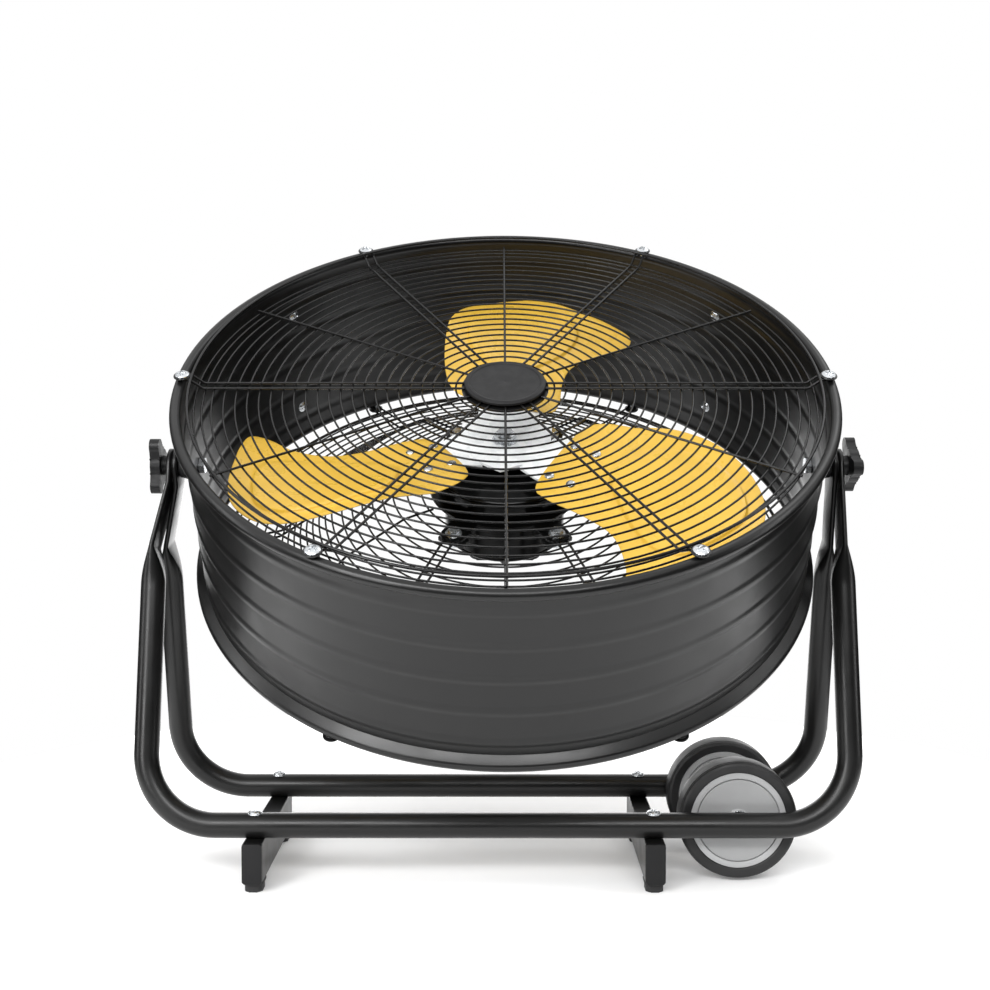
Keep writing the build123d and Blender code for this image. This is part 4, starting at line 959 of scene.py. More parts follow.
class DRUMFAN_OT_crossbars(bpy.types.Operator):
    """Builds the crossbars with their end plugs and rubber feet."""

    bl_idname = "drumfan.crossbars"
    bl_label = "Crossbars and feet"

    def execute(self, context):
        middle = FOOT_HEIGHT + CROSSBAR_HEIGHT / 2
        half = CROSSBAR_LENGTH / 2
        plugs, feet = [], []
        for side, x in CROSSBAR_X.items():
            bar = prism(box_outline(CROSSBAR_WIDTH, CROSSBAR_HEIGHT, CROSSBAR_CORNER), -half, half)
            place = shift(x, 0, middle) @ turn(90, "X")
            show("crossbar_%s_tube" % side, bar, ["crossbar_" + side], place)
            for end in (-1, 1):
                width, height = CROSSBAR_WIDTH - PLUG_TRIM, CROSSBAR_HEIGHT - PLUG_TRIM
                plug = prism(box_outline(width, height, CROSSBAR_CORNER), 0, 3 * MM, 1.1 * MM, 4)
                plugs.append((plug, shift(x, end * half, middle) @ turn(90 * -end, "X")))
                feet.append((rubber_foot(), shift(x, end * (half - FOOT_INSET), 0)))
        show("end_plugs", joined(*plugs), ["crossbar_end_plugs"])
        show("feet", joined(*feet), ["rubber_feet"])
        return {"FINISHED"}


def rubber_foot():
    """A moulded foot: a rounded pad under a flange."""
    pad = prism(box_outline(17.5 * MM, 23.5 * MM, 5 * MM), 0, 8.5 * MM, 1.6 * MM, 4)
    flange = prism(box_outline(19.8 * MM, 26 * MM, 4 * MM), 7.6 * MM, 10 * MM, 0.6 * MM)
    return joined(pad, flange)


class DRUMFAN_OT_frame_screws(bpy.types.Operator):
    """Builds the screws that hold the tubes to the crossbars."""

    bl_idname = "drumfan.frame_screws"
    bl_label = "Frame screws"

    def execute(self, context):
        top = BASE_Z + context.scene.drum_fan_sizes.tube / 2
        luck = random.Random(3)
        screw = pan_head(radius=6.5 * MM, height=3.2 * MM, shank_r=3 * MM, shank=20 * MM)
        collar = washer(7.4 * MM, 3 * MM, -0.9 * MM, 0.1 * MM)
        places = []
        for x in CROSSBAR_X.values():
            for y in (-BASE_Y, BASE_Y):
                places.append(shift(x, y, top - 0.2 * MM) @ turn(luck.uniform(0, 90)))
        show("tube_screws", repeated(joined(screw, collar), places), ["frame_screws"])
        dress(frame_nuts=0.3)
        return {"FINISHED"}


# ---------------------------------------------------------------- wheels
def tyre_profile(groove):
    """Tyre section, (radius, height): flat sides, a stepped shoulder and a slightly crowned tread."""
    h = WHEEL_HALF
    side = [
        (WHEEL_RIM_R, h - 2.2 * MM), (WHEEL_RIM_R + 1.2 * MM, h - 1 * MM), (WHEEL_R - 4 * MM, h),
        (WHEEL_R - 1.6 * MM, h - 1 * MM), (WHEEL_R - 0.9 * MM, h - 3 * MM), (WHEEL_R - groove, h - 3.6 * MM),
        (WHEEL_R - groove, h - 4.4 * MM), (WHEEL_R - 0.3 * MM, h - 5 * MM),
    ]
    crown = [(WHEEL_R, 4 * MM), (WHEEL_R, -4 * MM)]
    mirrored = [(r, -z) for r, z in reversed(side)]
    return rounded(side + crown + mirrored, 0.8 * MM, 3)


def wheel_profile():
    """Wheel centre section: a flat disc with a thin groove and a low hub round the axle."""
    h = WHEEL_HALF - 2 * MM
    depth = 3 * MM
    face = [
        (5.3 * MM, WHEEL_HALF), (9 * MM, WHEEL_HALF), (12 * MM, h), (WHEEL_GROOVE_R - 0.6 * MM, h),
        (WHEEL_GROOVE_R - 0.55 * MM, h - depth), (WHEEL_GROOVE_R + 0.55 * MM, h - depth),
        (WHEEL_GROOVE_R + 0.6 * MM, h), (WHEEL_RIM_R, h),
    ]
    mirrored = [(r, -z) for r, z in reversed(face)]
    return rounded(face + mirrored, 0.15 * MM, 2)


class DRUMFAN_OT_wheels(bpy.types.Operator):
    """Builds the wheels and the parts of their axle."""

    bl_idname = "drumfan.wheels"
    bl_label = "Wheels"

    def execute(self, context):
        groove = context.scene.drum_fan_sizes.tread_groove
        for side, centre in WHEEL_CENTRES.items():
            place = Matrix.Translation(centre) @ turn(-90, "X")
            show("tyre_%s_look" % side, lathe(tyre_profile(groove), 128), ["tyre_" + side], place, 28)
            show("wheel_%s_look" % side, lathe(wheel_profile(), 128), ["wheel_rim_" + side], place, 28)
        dress(wheel_axle=0.4, axle_nut=0.4, axle_washers=0.2, axle_spacer=0.3)
        return {"FINISHED"}


# ---------------------------------------------------------------- drum
def wall_line(inset, sizes):
    """The drum wall's line from one flare to the other, (radius, height), with its five soft ribs."""
    line = []
    reach = BEAD_Z - 9 * MM
    count = 220
    for k in range(count + 1):
        z = -reach + 2 * reach * k / count
        r = DRUM_R - inset
        for i in range(-2, 3):
            away = abs(z - i * sizes.rib_pitch) / (sizes.rib_width / 2)
            if away < 1:
                r += sizes.rib_height * (0.5 + 0.5 * math.cos(math.pi * away))
        line.append((r, z))
    return line


def drum_profile(sizes):
    """The whole drum's section: wall, flares and rolled beads in one closed line."""
    top_out = arc(BEAD_CENTRE_R, BEAD_Z, BEAD_R, -55, 215, 26)
    bottom_out = [(r, -z) for r, z in reversed(top_out)]
    outside = wall_line(0, sizes)
    inside = list(reversed(wall_line(DRUM_WALL, sizes)))
    return outside + top_out + inside + bottom_out


class DRUMFAN_OT_drum(bpy.types.Operator):
    """Builds the drum with its ribs and rolled rims."""

    bl_idname = "drumfan.drum"
    bl_label = "Drum"

    def execute(self, context):
        bm = lathe(drum_profile(context.scene.drum_fan_sizes), 180)
        show("drum_wall", bm, ["drum_shell"], DRUM, sharp=50)
        return {"FINISHED"}


class DRUMFAN_OT_pivots(bpy.types.Operator):
    """Builds the saddle plates, bushes, bolts and washers of the tilt axis."""

    bl_idname = "drumfan.pivots"
    bl_label = "Tilt pivots"

    def execute(self, context):
        bore, foot, waist, head = 5.2 * MM, 16 * MM, 14 * MM, 12.5 * MM  # radii of a bush
        for side, facing in SIDES:
            dressed("pivot_plate_" + side, 0.8 * MM)
            low, high = bush_ends(side)
            middle = low + 0.5 * (high - low)
            profile = [(bore, low), (foot, low), (waist, middle), (head, high), (bore, high)]
            bush = lathe(rounded(profile, 1.2 * MM, 4), 64)
            show("bush_" + side, bush, ["pivot_bush_" + side], DRUM @ turn(facing, "Y"))
        dress(pivot_bolts=0.5, leg_washers=0.2)
        return {"FINISHED"}


def bush_ends(side):
    """How far out along the tilt axis a bush starts and ends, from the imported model."""
    low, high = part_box("pivot_bush_" + side)
    return sorted((abs(low.x - PIVOT.x), abs(high.x - PIVOT.x)))


def knob_outline():
    """Three lobes round a core, with soft webs."""
    core, lobe, circle = 18 * MM, 8 * MM, 23.5 * MM
    points = []
    for i in range(3):
        middle = math.radians(120 * i)
        tip = Vector((circle * math.cos(middle), circle * math.sin(middle)))
        for a in range(-96, 97, 16):
            angle = middle + math.radians(a)
            points.append(tip + lobe * Vector((math.cos(angle), math.sin(angle))))
        for a in (36, 48, 60, 72, 84):
            angle = middle + math.radians(a)
            points.append(core * Vector((math.cos(angle), math.sin(angle))))
    return rounded(points, 5 * MM, 3)


def tilt_knob(edge):
    """A three-lobed grip on a short hub, with a shallow cap in its face."""
    grip = prism(knob_outline(), 6 * MM, 16 * MM, edge, 5)
    hub_profile = [(5.1 * MM, 0), (9.5 * MM, 0), (10.5 * MM, 7 * MM), (5.1 * MM, 7 * MM)]
    hub = lathe(rounded(hub_profile, 0.6 * MM), 48)
    cap_profile = [(0, 15 * MM), (8 * MM, 15 * MM), (7.2 * MM, 16 * MM), (0, 16 * MM)]
    cap = lathe(rounded(cap_profile, 0.4 * MM), 48)
    return joined(grip, hub, cap)


class DRUMFAN_OT_knobs(bpy.types.Operator):
    """Builds the two tilt knobs."""

    bl_idname = "drumfan.knobs"
    bl_label = "Tilt knobs"

    def execute(self, context):
        edge = context.scene.drum_fan_sizes.knob_edge
        for side, facing in SIDES:
            start = Matrix.Translation(Vector(JOINTS["tilt_knob_%s_turn" % side]["pos_m"]))
            place = start @ turn(math.degrees(DRUM_TILT), "X") @ turn(facing, "Y")
            show("knob_" + side, tilt_knob(edge), ["tilt_knob_" + side], place)
        return {"FINISHED"}


def carry_handle():
    """A bent round bar on two feet, out along +X."""
    half, reach = HANDLE_HALF, DRUM_R + HANDLE_REACH
    corners = [(DRUM_R, 0, -half), (reach, 0, -half), (reach, 0, half), (DRUM_R, 0, half)]
    path = rounded(corners, 15 * MM, 12, closed=False)
    angles = [2 * math.pi * k / 28 for k in range(28)]
    section = [(HANDLE_BAR_R * math.cos(a), HANDLE_BAR_R * math.sin(a)) for a in angles]
    bent = skin([Vector(p) for p in path], Vector((0, 1, 0)), lambda point: section)
    foot = [(0, -0.6), (8.4, -0.6), (8.4, 3.4), (6.6, 5), (0, 5)]  # (radius, height) in millimetres
    foot_profile = rounded([(r * MM, z * MM) for r, z in foot], 1 * MM, 4)
    feet = [(lathe(foot_profile, 40), shift(DRUM_R, 0, z) @ turn(90, "Y")) for z in (-half, half)]
    return joined(bent, *feet)


class DRUMFAN_OT_handles(bpy.types.Operator):
    """Builds the carrying handles and their screws."""

    bl_idname = "drumfan.handles"
    bl_label = "Carrying handles"

    def execute(self, context):
        places = []
        for side, angle in HANDLE_ANGLES.items():
            show("handle_" + side, carry_handle(), ["carry_handle_" + side], DRUM @ turn(angle))
            for z in (-HANDLE_HALF, HANDLE_HALF):
                places.append(DRUM @ turn(angle) @ shift(DRUM_R - DRUM_WALL, 0, z) @ turn(-90, "Y"))
        head = pan_head(radius=5.5 * MM, height=2.6 * MM, shank_r=2.5 * MM, shank=8 * MM)
        collar = washer(6.4 * MM, 2 * MM, -0.4 * MM, 0.4 * MM)
        show("inner_screws", repeated(joined(head, collar), places), ["handle_screws"])
        return {"FINISHED"}


# ---------------------------------------------------------------- guards
def settle_guard(side, meshes):
    """Joins a guard's wires into its one piece."""
    bm = bmesh.new()
    for mesh in meshes:
        bm.from_mesh(mesh)
        bpy.data.meshes.remove(mesh)
    name = side + "_guard_wires"
    whole = mesh_of(bm, name)
    whole.shade_smooth()
    settle(name, whole, [side + "_guard"])


def hairpin_path(line):
    """A pair of wires out along a (radius, height) line, joined by a half loop at its end."""
    gap = HAIRPIN_HALF_GAP
    soft = rounded(line, WIRE_BEND, 4, closed=False)[:-1]
    end_r, end_z = line[-1]
    loop = [Vector((a, b, end_z)) for a, b in arc(end_r, 0, gap, -90, 90, 16)]
    out = [Vector((r, -gap, z)) for r, z in soft]
    back = [Vector((r, gap, z)) for r, z in reversed(soft)]
    return out + loop + back


def single_path(line):
    """One wire out along a (radius, height) line."""
    return [Vector((r, 0, z)) for r, z in rounded(line, WIRE_BEND, 4, closed=False)]


def guard_rings(tree, count, radius, radius_step, height, height_step, wire):
    """The mesh of a guard's rings, in the drum's place."""
    return tree.run(
        "rings", wire_path([]), DRUM, ring_count=count, first_radius=radius, radius_step=radius_step,
        first_height=height, height_step=height_step, wire=wire, material=finish_of("black_wire"),
    )


def guard_spokes(tree, path, first_angle, wire):
    """The mesh of a set of spokes spread about the fan's axis, in the drum's place."""
    return tree.run(
        "spokes", wire_path(path), DRUM, copy_count=SPOKE_COUNT, start_angle=math.radians(first_angle),
        wire=wire, material=finish_of("black_wire"),
    )


class DRUMFAN_OT_front_guard(bpy.types.Operator):
    """Builds the front guard's rings and spokes."""

    bl_idname = "drumfan.front_guard"
    bl_label = "Front guard"

    def execute(self, context):
        sizes = context.scene.drum_fan_sizes
        fine, thick = sizes.ring_wire, sizes.spoke_wire
        rings, spokes = ring_tree(), spoke_tree()
        ring_z = GUARD_Z - fine / 2
        spoke_z = GUARD_Z + thick / 2
        rim_z = RIM_Z + thick / 2
        foot, head = HAIRPIN_STEP
        pair = [(WIRE_START_R, spoke_z), (foot, spoke_z), (head, rim_z), (GUARD_SCREW_CIRCLE_R, rim_z)]
        single = [(WIRE_START_R, spoke_z), (SINGLE_END_R, spoke_z)]
        over_pairs = rim_z + (thick + RIM_RING_WIRE) / 2
        settle_guard("front", [
            guard_rings(rings, FRONT_RING_COUNT, sizes.first_ring, sizes.ring_pitch, ring_z, 0.0, fine),
            guard_rings(rings, 2, OUTER_RING_R, OUTER_RING_PITCH, ring_z, 0.0, fine),
            guard_rings(rings, 1, RIM_RING_R, 0.0, over_pairs, 0.0, RIM_RING_WIRE),
            guard_spokes(spokes, hairpin_path(pair), 0, thick),
            guard_spokes(spokes, single_path(single), 180 / SPOKE_COUNT, thick),
        ])
        return {"FINISHED"}


def rear_line(r):
    """Height of the rear spokes' front at a radius."""
    for (r0, z0), (r1, z1) in zip(REAR_LINE, REAR_LINE[1:]):
        if r <= r1:
            return z0 + (z1 - z0) * (r - r0) / (r1 - r0)
    return REAR_LINE[-1][1]


class DRUMFAN_OT_rear_guard(bpy.types.Operator):
    """Builds the rear guard's dished rings and spokes."""

    bl_idname = "drumfan.rear_guard"
    bl_label = "Rear guard"

    def execute(self, context):
        sizes = context.scene.drum_fan_sizes
        fine, thick = sizes.ring_wire, sizes.spoke_wire
        rings, spokes = ring_tree(), spoke_tree()
        parts = []
        for first, last, count in REAR_RINGS:
            low, high = rear_line(first * MM), rear_line(last * MM)
            gaps = count - 1
            start = low - (thick + fine / 2)
            parts.append(guard_rings(
                rings, count, first * MM, (last - first) * MM / gaps, start, (high - low) / gaps, fine
            ))
        rim_ring_z = rear_line(REAR_RIM_RING_R) - thick - REAR_RIM_RING_WIRE / 2
        parts.append(guard_rings(rings, 1, REAR_RIM_RING_R, 0.0, rim_ring_z, 0.0, REAR_RIM_RING_WIRE))
        single = [(r, z - thick / 2) for r, z in REAR_LINE]
        pair = single + [(GUARD_SCREW_CIRCLE_R, -RIM_Z - thick / 2)]
        parts.append(guard_spokes(spokes, hairpin_path(pair), 0, thick))
        parts.append(guard_spokes(spokes, single_path(single), 180 / SPOKE_COUNT, thick))
        settle_guard("rear", parts)
        return {"FINISHED"}


class DRUMFAN_OT_guard_fixings(bpy.types.Operator):
    """Builds the screws and washers round both guards."""

    bl_idname = "drumfan.guard_fixings"
    bl_label = "Guard screws"

    def execute(self, context):
        top = RIM_Z + context.scene.drum_fan_sizes.spoke_wire
        tree = fixing_tree()
        for side, flip, seed in (("front", HERE, 7), ("rear", turn(180, "X"), 11)):
            plate = washer(GUARD_WASHER_R, 2.5 * MM, 0, GUARD_WASHER)
            screw = pan_head(radius=7 * MM, height=3 * MM, shank_r=2.4 * MM, shank=9 * MM)
            for kind, bm, height, chance in (
                ("washers", plate, top, 0.0), ("screws", screw, top + GUARD_WASHER, math.pi / 2),
            ):
                node = "%s_guard_%s" % (side, kind)
                made = tree.run(
                    kind, mesh_of(bm), DRUM @ flip @ shift(z=height), copy_count=SPOKE_COUNT,
                    start_angle=0.0, circle_radius=GUARD_SCREW_CIRCLE_R, chance_turn=chance,
                    seed_count=seed, material=finish_of(SLOTS[node]),
                )
                settle("%s_%s" % (side, kind), sharpened(made), [node])
        return {"FINISHED"}


class DRUMFAN_OT_badge(bpy.types.Operator):
    """Builds the bare badge and the disc that clamps it."""

    bl_idname = "drumfan.badge"
    bl_label = "Badge"

    def execute(self, context):
        base = GUARD_Z + context.scene.drum_fan_sizes.spoke_wire
        profile = [
            (0, 0), (40 * MM, 0), (41 * MM, 1 * MM), (40.4 * MM, 3 * MM), (37.5 * MM, 4.5 * MM),
            (35.6 * MM, 4.3 * MM), (34.6 * MM, 3.4 * MM), (20 * MM, 3.7 * MM), (0, 3.8 * MM),
        ]
        disc = lathe(rounded(profile, 0.7 * MM, 4), 128)
        show("badge", disc, ["front_badge"], DRUM @ shift(z=base), 40)
        dress(badge_clamp=0.4)
        return {"FINISHED"}


# ---------------------------------------------------------------- motor
class DRUMFAN_OT_motor(bpy.types.Operator):
    """Builds the motor's barrel and covers."""

    bl_idname = "drumfan.motor"
    bl_label = "Motor"

    def execute(self, context):
        for name, profile, node, corner in (
            ("motor_barrel", MOTOR_BARREL, "motor_housing", 1.2),
            ("motor_front", MOTOR_FRONT, "motor_front_cover", 2.0),
            ("motor_back", MOTOR_BACK, "motor_rear_cover", 2.0),
        ):
            outline = rounded([(r * MM, z * MM) for r, z in profile], corner * MM, 4)
            show(name, lathe(outline, 120), [node], DRUM, 35)
        dress(motor_stator=0, motor_rotor=0, bearing_front=0, bearing_rear=0)
        return {"FINISHED"}


class DRUMFAN_OT_motor_mounts(bpy.types.Operator):
    """Builds the motor bracket, its clamps, bolts, washers and nuts."""

    bl_idname = "drumfan.motor_mounts"
    bl_label = "Motor mounts"

    def execute(self, context):
        dress(motor_bracket=0.6, guard_clamps=0.5, bracket_nuts=0.4, bracket_washers=0.3, bracket_bolts=0.5)
        return {"FINISHED"}


# ---------------------------------------------------------------- fan
def through(points, steps=14):
    """A smooth closed line, in metres, through an outline's points, in millimetres."""
    dense = []
    count = len(points)
    for i in range(count):
        a, b, c, d = (Vector(points[(i + k) % count]) for k in (-1, 0, 1, 2))
        for k in range(steps):
            t = k / steps
            p = b + 0.5 * t * ((c - a) + t * (2 * a - 5 * b + 4 * c - d + t * (3 * (b - c) + d - a)))
            dense.append(p * MM)
    return dense


def reach_to(line, angle):
    """How far the closed line is from the blade's heart in one direction."""
    way = Vector((math.cos(angle), math.sin(angle)))
    best = 0.0
    for i, start in enumerate(line):
        a = start - BLADE_HEART
        b = line[(i + 1) % len(line)] - BLADE_HEART
        span = b - a
        cross = way.x * span.y - way.y * span.x
        if abs(cross) < 1e-12:
            continue
        far = (a.x * span.y - a.y * span.x) / cross
        along = (a.x * way.y - a.y * way.x) / cross
        if far > 0 and -1e-9 <= along <= 1 + 1e-9:
            best = max(best, far)
    return best


def blade_height(r, across):
    """Height of the blade's middle surface: flat at the root, twisted and cambered outside it."""
    outside = max(0.0, r - ROOT_R)
    root, middle, tip = (math.tan(math.radians(pitch)) for pitch in PITCHES)
    slope = root
    if outside:
        share = outside / (FAN_R - ROOT_R)
        bend = ((middle - root) / MID_SHARE - (tip - root)) / (MID_SHARE - 1)
        slope += (tip - root - bend) * share + bend * share * share
    camber = min(1.0, 4 * outside / (FAN_R - ROOT_R)) * across**2 / (2 * BLADE_CAMBER_R)
    return BLADE_ROOT_Z + BLADE_CONE * outside + slope * across + camber


def pressed_blade(sheet, raise_by):
    """A pressed blade: rows of points from its heart out to its edge, on both faces."""
    bm = bmesh.new()
    steps = 200
    angles = [2 * math.pi * k / steps for k in range(steps)]
    edge_line, panel_line = through(BLADE_OUTLINE), through(PANEL_OUTLINE)
    edges = [reach_to(edge_line, a) for a in angles]
    panels = [reach_to(panel_line, a) for a in angles]
    faces = []
    for side in (1, -1):
        off = side * sheet / 2
        rows = [[bm.verts.new((*BLADE_HEART, blade_height(*BLADE_HEART) + raise_by + off))]]
        for t in (0.2, 0.4, 0.6, 0.8, 0.93, 1.0):
            reaches = [t * (p - PANEL_SLOPE) for p in panels]
            rows.append(blade_row(bm, angles, reaches, raise_by, off))
        for t in (0.2, 0.4, 0.6, 0.8, 1.0):
            reaches = [p - PANEL_SLOPE * (1 - t) for p in panels]
            rows.append(blade_row(bm, angles, reaches, raise_by * (1 - t * t * (3 - 2 * t)), off))
        for t in (0.15, 0.35, 0.55, 0.75, 0.9, 1.0):
            reaches = [p + (e - BLADE_EDGE - p) * t for p, e in zip(panels, edges)]
            rows.append(blade_row(bm, angles, reaches, 0.0, off))
        rows.append(blade_row(bm, angles, edges, 0.0, side * sheet * BLADE_EDGE_SHARE))
        faces.append(rows)
    front, back = faces
    chain = front + list(reversed(back))
    for here, there in zip(chain, chain[1:]):
        stitch(bm, here, there)
    return bm


def blade_row(bm, angles, reaches, lift, off):
    """A closed row of points round the blade's heart, lifted off its middle surface."""
    row = []
    for angle, reach in zip(angles, reaches):
        r = BLADE_HEART.x + reach * math.cos(angle)
        across = BLADE_HEART.y + reach * math.sin(angle)
        row.append(bm.verts.new((r, across, blade_height(r, across) + lift + off)))
    return row


class DRUMFAN_OT_blades(bpy.types.Operator):
    """Builds the three pressed blades."""

    bl_idname = "drumfan.blades"
    bl_label = "Blades"

    def execute(self, context):
        sizes = context.scene.drum_fan_sizes
        blade = pressed_blade(sizes.blade_sheet, sizes.panel_raise)
        for i in range(BLADE_COUNT):
            number = i + 1
            place = DRUM @ turn(BLADE_PHASE + 360 / BLADE_COUNT * i)
            show("blade_%d" % number, blade.copy(), ["fan_blade_%d" % number], place, 60)
        blade.free()
        return {"FINISHED"}


class DRUMFAN_OT_rivets(bpy.types.Operator):
    """Builds the blades' rivets."""

    bl_idname = "drumfan.rivets"
    bl_label = "Blade rivets"

    def execute(self, context):
        top = BLADE_ROOT_Z + context.scene.drum_fan_sizes.blade_sheet / 2
        # The rivet's sections, (radius, height) in millimetres.
        head = [(5.0, -0.1), (5.0, 0.5), (4.2, 1.4), (2.6, 2.0), (0, 2.2), (0, -0.1)]
        tail = [(0, -5.6), (3.8, -5.6), (4.0, -4.8), (2.4, -4.6), (2.4, 0), (0, 0)]
        shapes = [rounded([(r * MM, z * MM) for r, z in line], 0.4 * MM, 2) for line in (head, tail)]
        rivet = joined(*[lathe(shape, 28) for shape in shapes])
        arm = shift(z=top) @ Matrix.Rotation(math.radians(PITCHES[0]), 4, "X")
        spots = [arm @ shift(r, y, 0.1 * MM) for r in RIVET_RADII for y in RIVET_SIDES]
        made = fixing_tree().run(
            "rivets", mesh_of(repeated(rivet, spots)), DRUM, copy_count=BLADE_COUNT,
            start_angle=math.radians(BLADE_PHASE), circle_radius=0.0, chance_turn=0.0, seed_count=1,
            material=finish_of("zinc"),
        )
        settle("rivets", sharpened(made), ["blade_rivets"])
        return {"FINISHED"}


class DRUMFAN_OT_hub(bpy.types.Operator):
    """Builds the spider plate, its boss, the shaft and the hub nut."""

    bl_idname = "drumfan.hub"
    bl_label = "Hub"

    def execute(self, context):
        dress(hub_plate=0.5, hub_boss=0.5)
        nut = joined(hexagon(11.5 * MM, 0, 8 * MM, 0.9 * MM), washer(13 * MM, 7 * MM, 0, 1.4 * MM))
        show("shaft_nut", nut, ["hub_nut"], DRUM @ shift(z=HUB_Z))
        dress(motor_shaft=0.6)
        return {"FINISHED"}


# ---------------------------------------------------------------- speed switch
def fluted_rim():
    """The dial's edge: a circle with twenty soft flutes."""
    outline = []
    for k in range(160):
        angle = 2 * math.pi * k / 160
        radius = (15.6 + 0.4 * math.cos(20 * angle)) * MM
        outline.append(Vector((radius * math.cos(angle), radius * math.sin(angle))))
    return outline


class DRUMFAN_OT_switch(bpy.types.Operator):
    """Builds the switch box behind the motor, its knob and the empty cable gland."""

    bl_idname = "drumfan.switch"
    bl_label = "Speed switch"

    def execute(self, context):
        box = prism(box_outline(76 * MM, 60 * MM, 8 * MM, 6), SWITCH_FACE_Z, -84 * MM, 2.5 * MM, 4)
        lid = prism(box_outline(74.6 * MM, 58.6 * MM, 7.5 * MM, 6), -85 * MM, -79 * MM, 0.4 * MM)
        show("switch_body", joined(box, lid), ["switch_box"], DRUM)
        dial = prism(fluted_rim(), 0, 8 * MM, 0.8 * MM)
        bar = prism(box_outline(30 * MM, 6 * MM, 2.9 * MM), 7 * MM, 14 * MM, 1 * MM)
        place = DRUM @ turn(180, "X") @ shift(z=SWITCH_DIAL_GAP - SWITCH_FACE_Z)
        show("speed_dial", joined(dial, bar), ["speed_knob"], place)
        nut = hexagon(9 * MM, 0, 7 * MM, 0.6 * MM)
        tube = [(4 * MM, 0), (7.2 * MM, 0), (7.2 * MM, 11 * MM), (5.6 * MM, 14 * MM), (4 * MM, 14 * MM)]
        sleeve = lathe(rounded(tube, 0.8 * MM), 48)
        gland_place = DRUM @ shift(*GLAND_PLACE) @ turn(90, "X")
        show("gland", joined(nut, sleeve), ["cable_gland"], gland_place)
        return {"FINISHED"}


# ---------------------------------------------------------------- stage
def area_light(name, place, target, width, height, watts):
    """A soft rectangular lamp turned to its target."""
    lamp = bpy.data.lights.new(name, "AREA")
    lamp.shape = "RECTANGLE"
    lamp.size, lamp.size_y = width, height
    lamp.energy = watts
    light = bpy.data.objects.new(name, lamp)
    bpy.context.scene.collection.objects.link(light)
    light.location = place
    light.rotation_euler = (Vector(target) - Vector(place)).to_track_quat("-Z", "Y").to_euler()


def studio_world():
    """Surroundings that the camera sees white, and that light the fan from above and from straight behind."""
    world = bpy.data.worlds.new("studio")
    world.use_nodes = True
    bpy.context.scene.world = world
    nodes, links = world.node_tree.nodes, world.node_tree.links
    back = nodes["Background"]
    back.inputs["Color"].default_value = (1, 1, 1, 1)
    way = nodes.new("ShaderNodeSeparateXYZ")
    links.new(nodes.new("ShaderNodeTexCoord").outputs["Object"], way.inputs[0])

    def strength(axis, *numbers):
        """A strength that grows as a ray turns towards an axis: from and to which share, and both levels."""
        node = nodes.new("ShaderNodeMapRange")
        for key, number in zip(("From Min", "From Max", "To Min", "To Max"), numbers):
            node.inputs[key].default_value = number
        links.new(way.outputs[axis], node.inputs["Value"])
        return node.outputs[0]

    total = nodes.new("ShaderNodeMath")
    links.new(strength("Z", 0.3, 0.8, 0.03, 1.25), total.inputs[0])
    links.new(strength("Y", 0.84, 0.95, 0.0, 3.2), total.inputs[1])
    seen = nodes.new("ShaderNodeMix")
    seen.inputs["B"].default_value = 1.0
    links.new(nodes.new("ShaderNodeLightPath").outputs["Is Camera Ray"], seen.inputs["Factor"])
    links.new(total.outputs[0], seen.inputs["A"])
    links.new(seen.outputs["Result"], back.inputs["Strength"])


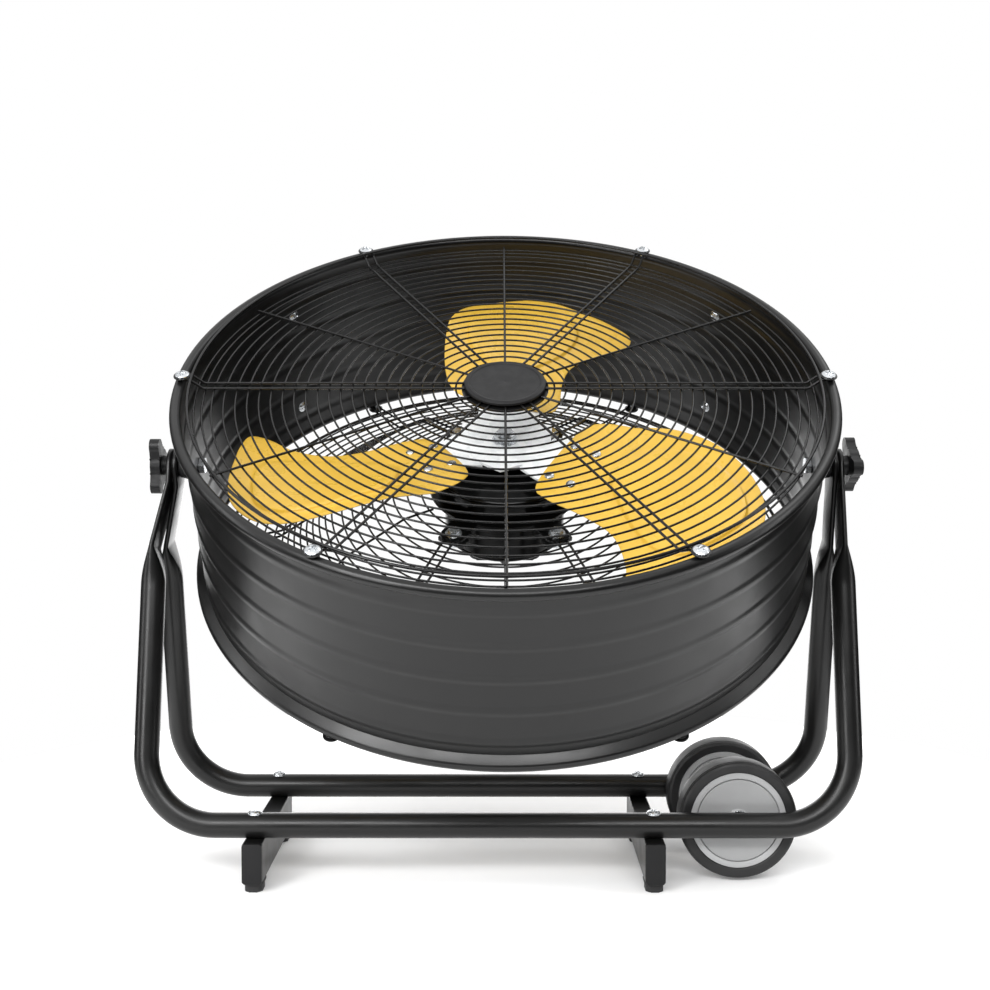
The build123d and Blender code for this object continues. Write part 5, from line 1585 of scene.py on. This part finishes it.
class DRUMFAN_OT_stage(bpy.types.Operator):
    """Builds the pale floor, which glows with painted light of its own, the soft lights and the camera."""

    bl_idname = "drumfan.stage"
    bl_label = "Stage"

    def execute(self, context):
        paint = Shader("pale floor", context.scene.drum_fan_colours.floor, 0.0, 0.8)
        paint.bsdf.inputs["Specular IOR Level"].default_value = 0.0
        # Painted light: the floor glows though it is no lamp, at 0.13 round the middle and up to 0.7 towards
        # its edge.
        paint.bsdf.inputs["Emission Color"].default_value = (1, 1, 1, 1)
        glow = paint.ramp(paint.distance(), 0.13, 0.7, from_low=0.35, from_high=0.7)
        paint.links.new(glow, paint.bsdf.inputs["Emission Strength"])
        slab = [(0, -FLOOR_DEPTH), (FLOOR_R, -FLOOR_DEPTH), (FLOOR_R, 0), (0, 0)]
        mesh = mesh_of(lathe(slab, 96), "floor")
        mesh.materials.append(paint.material)
        floor = bpy.data.objects.new("floor", mesh)
        context.scene.collection.objects.link(floor)
        for light in LIGHTS:
            area_light(*light)
        studio_world()
        context.scene.view_settings.view_transform = "Standard"
        lens = bpy.data.cameras.new("camera")
        lens.sensor_width = 36
        lens.lens = CAMERA_LENS
        lens.dof.use_dof = False
        camera = bpy.data.objects.new("camera", lens)
        camera.location = CAMERA_PLACE
        camera.rotation_euler = [math.radians(angle) for angle in CAMERA_TURN]
        context.scene.collection.objects.link(camera)
        context.scene.camera = camera
        return {"FINISHED"}


# ---------------------------------------------------------------- panel and registration
PIECES = (
    DRUMFAN_OT_frames, DRUMFAN_OT_crossbars, DRUMFAN_OT_frame_screws, DRUMFAN_OT_wheels, DRUMFAN_OT_drum,
    DRUMFAN_OT_pivots, DRUMFAN_OT_knobs, DRUMFAN_OT_handles, DRUMFAN_OT_front_guard, DRUMFAN_OT_rear_guard,
    DRUMFAN_OT_guard_fixings, DRUMFAN_OT_badge, DRUMFAN_OT_motor, DRUMFAN_OT_motor_mounts, DRUMFAN_OT_hub,
    DRUMFAN_OT_blades, DRUMFAN_OT_rivets, DRUMFAN_OT_switch, DRUMFAN_OT_stage,
)


class DRUMFAN_PT_panel(bpy.types.Panel):
    """Lists the fan's pieces and their settings."""

    bl_idname = "DRUMFAN_PT_panel"
    bl_label = "Drum fan"
    bl_space_type = "VIEW_3D"
    bl_region_type = "UI"
    bl_category = "Drum fan"

    def draw(self, context):
        layout = self.layout
        for settings in (context.scene.drum_fan_sizes, context.scene.drum_fan_colours):
            column = layout.column()
            for key in settings.__annotations__:
                column.prop(settings, key)
        for piece in PIECES:
            layout.operator(piece.bl_idname)


CLASSES = (DrumFanSizes, DrumFanColours) + PIECES + (DRUMFAN_PT_panel,)


def register():
    """Adds the classes, and the settings on every scene."""
    for cls in CLASSES:
        bpy.utils.register_class(cls)
    bpy.types.Scene.drum_fan_sizes = bpy.props.PointerProperty(type=DrumFanSizes)
    bpy.types.Scene.drum_fan_colours = bpy.props.PointerProperty(type=DrumFanColours)


def unregister():
    """Takes the settings and the classes away again."""
    del bpy.types.Scene.drum_fan_colours
    del bpy.types.Scene.drum_fan_sizes
    for cls in reversed(CLASSES):
        bpy.utils.unregister_class(cls)


def main():
    """Builds every piece in turn."""
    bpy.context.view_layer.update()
    register()
    for piece in PIECES:
        group, name = piece.bl_idname.split(".")
        getattr(getattr(bpy.ops, group), name)()


if __name__ == "__main__":
    main()
